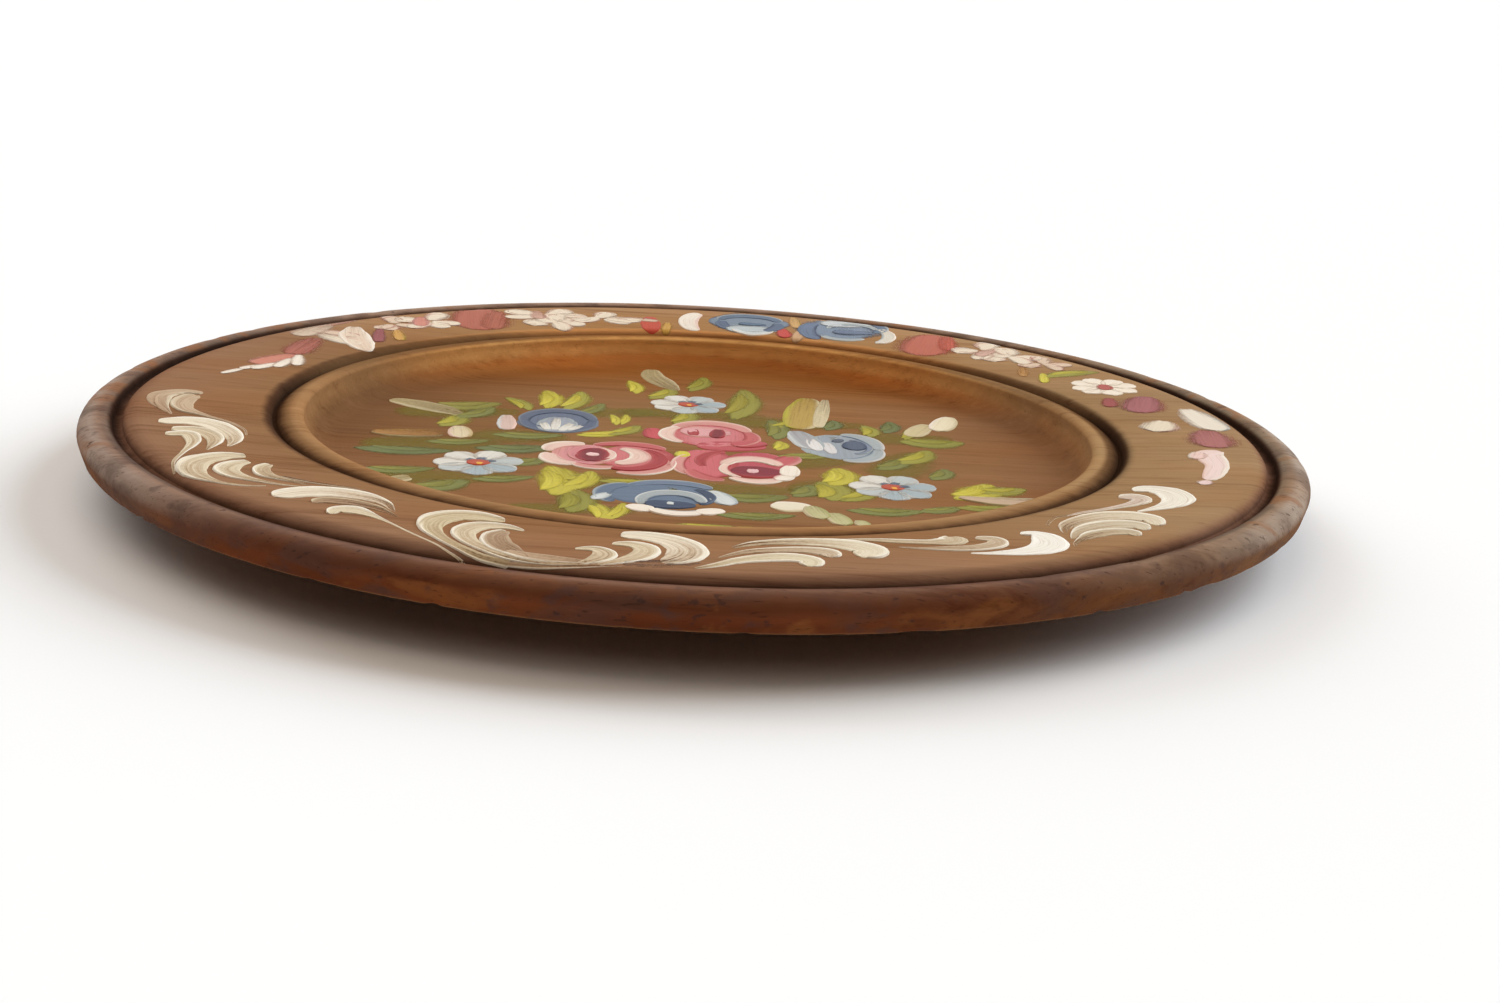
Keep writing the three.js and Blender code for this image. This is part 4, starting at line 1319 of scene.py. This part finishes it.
def paint_far_brim(material):
    painting = Painting()
    arc = painting.arc

    def dab(x, y, length, width, *rest, soft=0.85, **more):
        """A dab spread a little wider, with the soft edge of the whole far side."""
        painting.dab(x, y, length * 1.1, width * 1.15, *rest, soft=soft, **more)

    def bloom(x, y, across, deep, count, width, tones, layer=1):
        """Uneven petals pressed round an oval, each pulled in towards the middle."""
        for place in range(count):
            turn = 360 * (place + 0.35 * math.sin(place * 2.4)) / count
            px, py = around(x, y, across, deep, turn)
            length = math.dist((x, y), (px, py)) * 0.9 + 4 + 2.5 * math.sin(place * 4.1)
            angle = math.degrees(math.atan2(y - py, x - px))
            bend = 1.4 - 2.8 * (place % 2)
            petal_layer = layer + 0.3 * (place % 3)
            painting.dab(px, py, length, width * (1 + 0.2 * math.sin(place * 3.3)), angle, tones, bend,
                         petal_layer, (1.1, 0.95), (0.06, 0.06), 0.85)

    brick, salmon, plum = (158, 84, 66), (196, 124, 102), (140, 74, 74)
    white_petal = (FRINGE, (230, 212, 188), (228, 188, 168))
    dull_petal = ((214, 180, 158), (216, 190, 164), PINK)

    # Bud at the far left
    dab(-126, 37, 18, 9, 62, (PINK, salmon, PINK), layer=0)
    for x, y, length, width, angle in (
        (-119.5, 38, 13, 4.6, 98), (-122.5, 33, 12, 4.4, 82), (-126.5, 27, 11, 4.6, 62),
        (-130, 24, 8, 3.4, 58), (-133.6, 17, 9, 3, 64),
    ):
        dab(x, y, length, width, angle, (BLUSH, FRINGE, FRINGE), layer=2)
    dab(-121.5, 57, 24, 12, 84, (brick, (166, 94, 76), brick), layer=0, cover=(0.85, 0.6))
    dab(-123, 80, 20, 11, 72, (BLUSH, (206, 182, 158), BLUSH), layer=1, cover=(0.9, 0.6))
    dab(-118, 92, 18, 5, 58, (PINK, (190, 140, 118), PINK), layer=0, cover=(0.7, 0.5))
    painting.stroke([(-103, 58, 4), (-106, 66, 9), (-110, 77, 10), (-112, 89, 4)], FRINGE, (222, 198, 174),
                    FRINGE, (0.14, 0.14), (1.2, 0.8), 0.16, 0.2)
    dab(-113, 71, 16, 7, 150, white_petal, 1.4, 2, cover=(1.1, 0.6), soft=0.4)
    dab(-116, 77, 15, 6, 165, dull_petal, -1, 1, soft=0.5)
    dab(-102.6, 80, 17, 5, 98, plum, layer=2)
    dab(-97, 83, 14, 4.4, 104, ((196, 146, 70), (200, 150, 74), LEMON), layer=1)

    # White and pink flower, a red patch and a cluster of white petals
    bloom(-101, 98, 5, 6, 5, 7, dull_petal)
    bloom(-91, 106, 6, 7, 7, 8, white_petal, 1.5)
    dab(-93, 104, 13, 5, 98, (PINK, (200, 130, 112), PINK), layer=3, soft=0.4)
    dab(-75.5, 116, 32, 22, 97, (brick, (168, 92, 70), brick), layer=0, cover=(1.05, 0.95), soft=0.95)
    dab(-70, 115, 26, 12, 92, (180, 102, 78), layer=1, cover=(0.7, 0.6), soft=0.85)
    bloom(-54, 127, 9, 6, 8, 9, white_petal)
    bloom(-51, 119, 6, 6, 6, 9, white_petal, 1.6)
    bloom(-37, 129, 9, 4, 7, 8, white_petal)
    dab(-24, 130, 15, 5, 172, dull_petal, cover=THIN, soft=0.5)
    dab(-57, 127, 12, 5, 100, (PINK, (214, 170, 150), PINK), layer=3, cover=THIN, soft=0.5)
    dab(-18.6, 125, 18, 6, 94, (182, 70, 48), layer=1, cover=THICK, soft=0.3)
    dab(-13, 122, 12, 4, 88, (196, 150, 70), layer=1)

    # Two blue roses
    arc(-1, 131, 5, 13, 100, 250, 7, BLUSH, FRINGE, FRINGE)
    dab(15, 134, 26, 26, 0, (BLUE, (118, 130, 144), BLUE), layer=0, cover=STEADY)
    arc(15, 135, 10.5, 9, 10, 172, 6, DEEP_BLUE, BLUE, MIST)
    arc(15, 132, 9.6, 11, 165, 235, 5, DEEP_BLUE, (86, 98, 118), BLUE, layer=3)
    arc(15, 132, 9.6, 11, -60, 15, 5, DEEP_BLUE, (90, 102, 122), BLUE, layer=3)
    dab(16, 124, 17, 12, 4, (MIST, (186, 192, 192), FROST), layer=3)
    arc(16, 126, 6.5, 7.5, 195, 345, 4, MIST, FROST, FRINGE, layer=4)
    dab(16, 131, 9, 4, 0, (DEEP_BLUE, (90, 108, 130), BLUE), layer=5)
    dab(26.4, 121, 11, 5, 94, (188, 72, 62), layer=3, cover=THICK)
    dab(30.6, 138, 17, 5, 92, ((206, 150, 110), (200, 158, 100), LIME), layer=1, cover=(0.9, 0.7))
    dab(31, 119, 12, 5, 84, (198, 158, 118), layer=0)
    dab(46, 131, 28, 28, 90, (BLUE, (122, 134, 150), BLUE), layer=0, cover=STEADY)
    arc(40, 126, 5.6, 12, 110, 250, 6.6, DEEP_BLUE, (104, 116, 138), BLUE)
    dab(48.5, 138, 17, 12, 0, (FROST, (198, 202, 202), MIST), layer=3)
    arc(50, 128, 8.4, 10, 15, 165, 3.6, BLUE, MIST, FROST, layer=4)
    arc(54, 134, 6.4, 9, -60, 70, 5, DEEP_BLUE, BLUE, MIST)
    dab(50, 125, 13, 8, 0, (BLUE, (102, 114, 134), DEEP_BLUE), layer=5)
    arc(47, 122, 8, 7, 200, 320, 4, BLUE, MIST, FROST, layer=4)
    arc(55, 123, 7, 12, -75, 55, 5, MIST, (216, 206, 190), FRINGE, layer=3)

    # Red and white patches, then the small daisy
    dab(74, 112, 30, 20, 78, (brick, (178, 96, 74), (184, 84, 64)), layer=0, cover=(1.05, 0.95), soft=0.95)
    dab(81, 115, 22, 9, 84, (192, 92, 70), layer=1, cover=(0.7, 0.6), soft=0.85)
    bloom(92, 105, 6, 7, 7, 9, white_petal)
    bloom(99, 98, 6, 6, 6, 9, white_petal, 1.6)
    bloom(109, 89, 5, 5, 6, 7, dull_petal)
    dab(93, 103, 14, 5, 60, (PINK, (216, 176, 158), PINK), layer=3, cover=THIN, soft=0.5)
    dab(101, 77, 12, 5, 84, (184, 134, 72), layer=0, cover=(0.75, 0.5))
    dab(106.4, 69, 12, 3.8, 84, (LIME, LEMON, LEMON), layer=1)
    painting.leaf(116.5, 74, 19, 8, 26, LEAF, LIME)
    for angle in (196, 150, 108, 58, 16, -34, -82, -130):
        dab(*around(123.4, 58, 6, 6.6, angle), 8.4, 5.8, angle + 180, (240, 226, 206), layer=1, soft=0.6,
            cover=(1.25, 0.9), ridges=(0.12, 0.12))
    dab(123.4, 57.5, 7.4, 4.8, 84, (EMBER, (168, 84, 74), EMBER), layer=3, cover=THICK)
    dab(131, 36, 21, 15, 74, (plum, (156, 92, 92), CRIMSON), layer=1, cover=(0.95, 0.75))
    dab(121.4, 38, 11, 5.6, 82, (brick, (146, 70, 64), brick), layer=2)
    dab(144.4, 18, 25, 10, 98, (FRINGE, (228, 216, 196), FROST), layer=2, cover=(1.2, 0.9),
        ridges=(0.16, 0.1))
    dab(130.4, 9, 13, 10, 70, (FRINGE, (226, 210, 184), BLUSH), layer=2, cover=(1.1, 0.9),
        ridges=(0.12, 0.12))
    dab(141.6, -5, 20, 14.5, 84, (plum, (162, 98, 92), brick), layer=1, cover=(0.95, 0.75))

    # Pink and white curl that ends the flowers
    curl = [(141, -20, 4), (137, -23, 8), (136.4, -30, 8), (136, -36, 6.5), (134, -42, 6), (132, -47, 5),
            (130, -51, 3)]
    painting.stroke(curl, FRINGE, (232, 206, 196), BLUSH, (0.16, 0.1), (1.2, 0.85), 0.14)
    dab(133.4, -25, 8, 4.4, 70, (FRINGE, (230, 196, 184), BLUSH), layer=5, soft=0.3)
    dab(128.8, -53.6, 5, 4.4, 60, (FRINGE, (228, 200, 192), BLUSH), layer=1)
    painting.into_piece("brim_flowers", material)


# The camera's turns in degrees, its place and its lens
PITCH, YAW, ROLL = 15.65, 1.585, 3.35
CAMERA_PLACE = (0, -0.54255, 0.14616)
LENS = 48
SENSOR_WIDTH = 36

# Slight tints, which cancel on level ground and leave the shadow warm
COOL, WARM = (0.91, 1.005, 1.09), (1.177, 0.99, 0.822)

# Each lamp's turn from +Y, rise, energy, spread in degrees and tint
LAMPS = {
    "right window": (60, 31, 2.9, 50, COOL),
    "left window": (-35, 27, 1.3, 45, COOL),
    "overhead": (-50, 68, 0.75, 70, WARM),
    "room": (180, 60, 0.42, 60, WARM),
}

# The share of the white background's light that falls on the object
WORLD_FILL = 0.06

# How far the table runs each way, in metres
TABLE_REACH = 40


def make_camera():
    pitch, yaw, roll = (math.radians(angle) for angle in (PITCH, YAW, ROLL))
    ahead = Vector((math.sin(yaw) * math.cos(pitch), math.cos(yaw) * math.cos(pitch), -math.sin(pitch)))
    level = Vector((math.cos(yaw), -math.sin(yaw), 0))
    upright = level.cross(ahead)
    right = level * math.cos(roll) + upright * math.sin(roll)
    up = upright * math.cos(roll) - level * math.sin(roll)
    data = bpy.data.cameras.new("camera")
    data.lens = LENS
    data.sensor_width = SENSOR_WIDTH
    data.clip_end = 100
    camera = bpy.data.objects.new("camera", data)
    columns = Matrix((right, up, -ahead)).transposed().to_4x4()
    camera.matrix_world = Matrix.Translation(CAMERA_PLACE) @ columns
    bpy.context.scene.collection.objects.link(camera)
    bpy.context.scene.camera = camera


def make_lamps():
    for name, (turn, rise, energy, spread, tint) in LAMPS.items():
        turn, rise = math.radians(turn), math.radians(rise)
        way = Vector((math.sin(turn) * math.cos(rise), math.cos(turn) * math.cos(rise), math.sin(rise)))
        data = bpy.data.lights.new(name, "SUN")
        data.energy = energy
        data.angle = math.radians(spread)
        data.color = tint
        lamp = bpy.data.objects.new(name, data)
        lamp.location = way
        lamp.rotation_euler = (-way).to_track_quat("-Z", "Y").to_euler()
        lamp.visible_glossy = name == "overhead"
        bpy.context.scene.collection.objects.link(lamp)


def make_world():
    """A white background that is fully bright to the camera and in reflections, and faint as a light."""
    world = bpy.data.worlds.new("studio")
    bpy.context.scene.world = world
    world.use_nodes = True
    nodes = Nodes(world.node_tree)
    rays = ("Is Camera Ray", "Is Glossy Ray", "Is Transmission Ray")
    direct, mirrored, through = (nodes.node("ShaderNodeLightPath", {}, {}, ray) for ray in rays)
    seen = direct.most(mirrored).most(through)
    background = nodes.tree.nodes["Background"]
    nodes.feed(background.inputs["Color"], (1, 1, 1, 1))
    nodes.feed(background.inputs["Strength"], WORLD_FILL + seen * (1 - WORLD_FILL))


def make_table():
    finish = Finish("pale table")
    grit = finish.cloud(finish.place(), (0.3, 0.3, 0.3), 2)
    rough = 0.75 + (grit - 0.5) * 0.1
    finish.shade(Base_Color=(0.95, 0.945, 0.935, 1), Roughness=rough, Specular_IOR_Level=0.1)
    mesh = bpy.data.meshes.new("table")
    corners = [(x * TABLE_REACH, y * TABLE_REACH, 0) for x, y in ((-1, -1), (1, -1), (1, 1), (-1, 1))]
    mesh.from_pydata(corners, [], [(0, 1, 2, 3)])
    mesh.materials.append(finish.material)
    table = bpy.data.objects.new("table", mesh)
    bpy.context.scene.collection.objects.link(table)


bpy.context.scene.view_settings.view_transform = "Standard"
make_camera()
make_lamps()
make_world()
make_table()
wood = StainedWood("stained lime wood").dress()
border_paint = brushed_paint("worn border paint", wear=0.75, grain=1, thinnest=0.3, full=0.6)
flower_paint = brushed_paint("soft flower paint", wear=0.25, grain=0.6, thinnest=0.05, full=0.9)
brass = brass_finish("aged brass", (176, 142, 86), (128, 100, 62), (66, 50, 36), polish=0.36)
wire = brass_finish("drawn brass wire", (188, 152, 92), (146, 114, 70), (78, 58, 40), polish=0.28)
make_boards(wood)
make_hanger(brass, wire)
paint_scrolls(border_paint)
paint_far_brim(flower_paint)
paint_leaves(flower_paint, thin_glaze())
paint_daisies(flower_paint)
paint_roses(flower_paint)
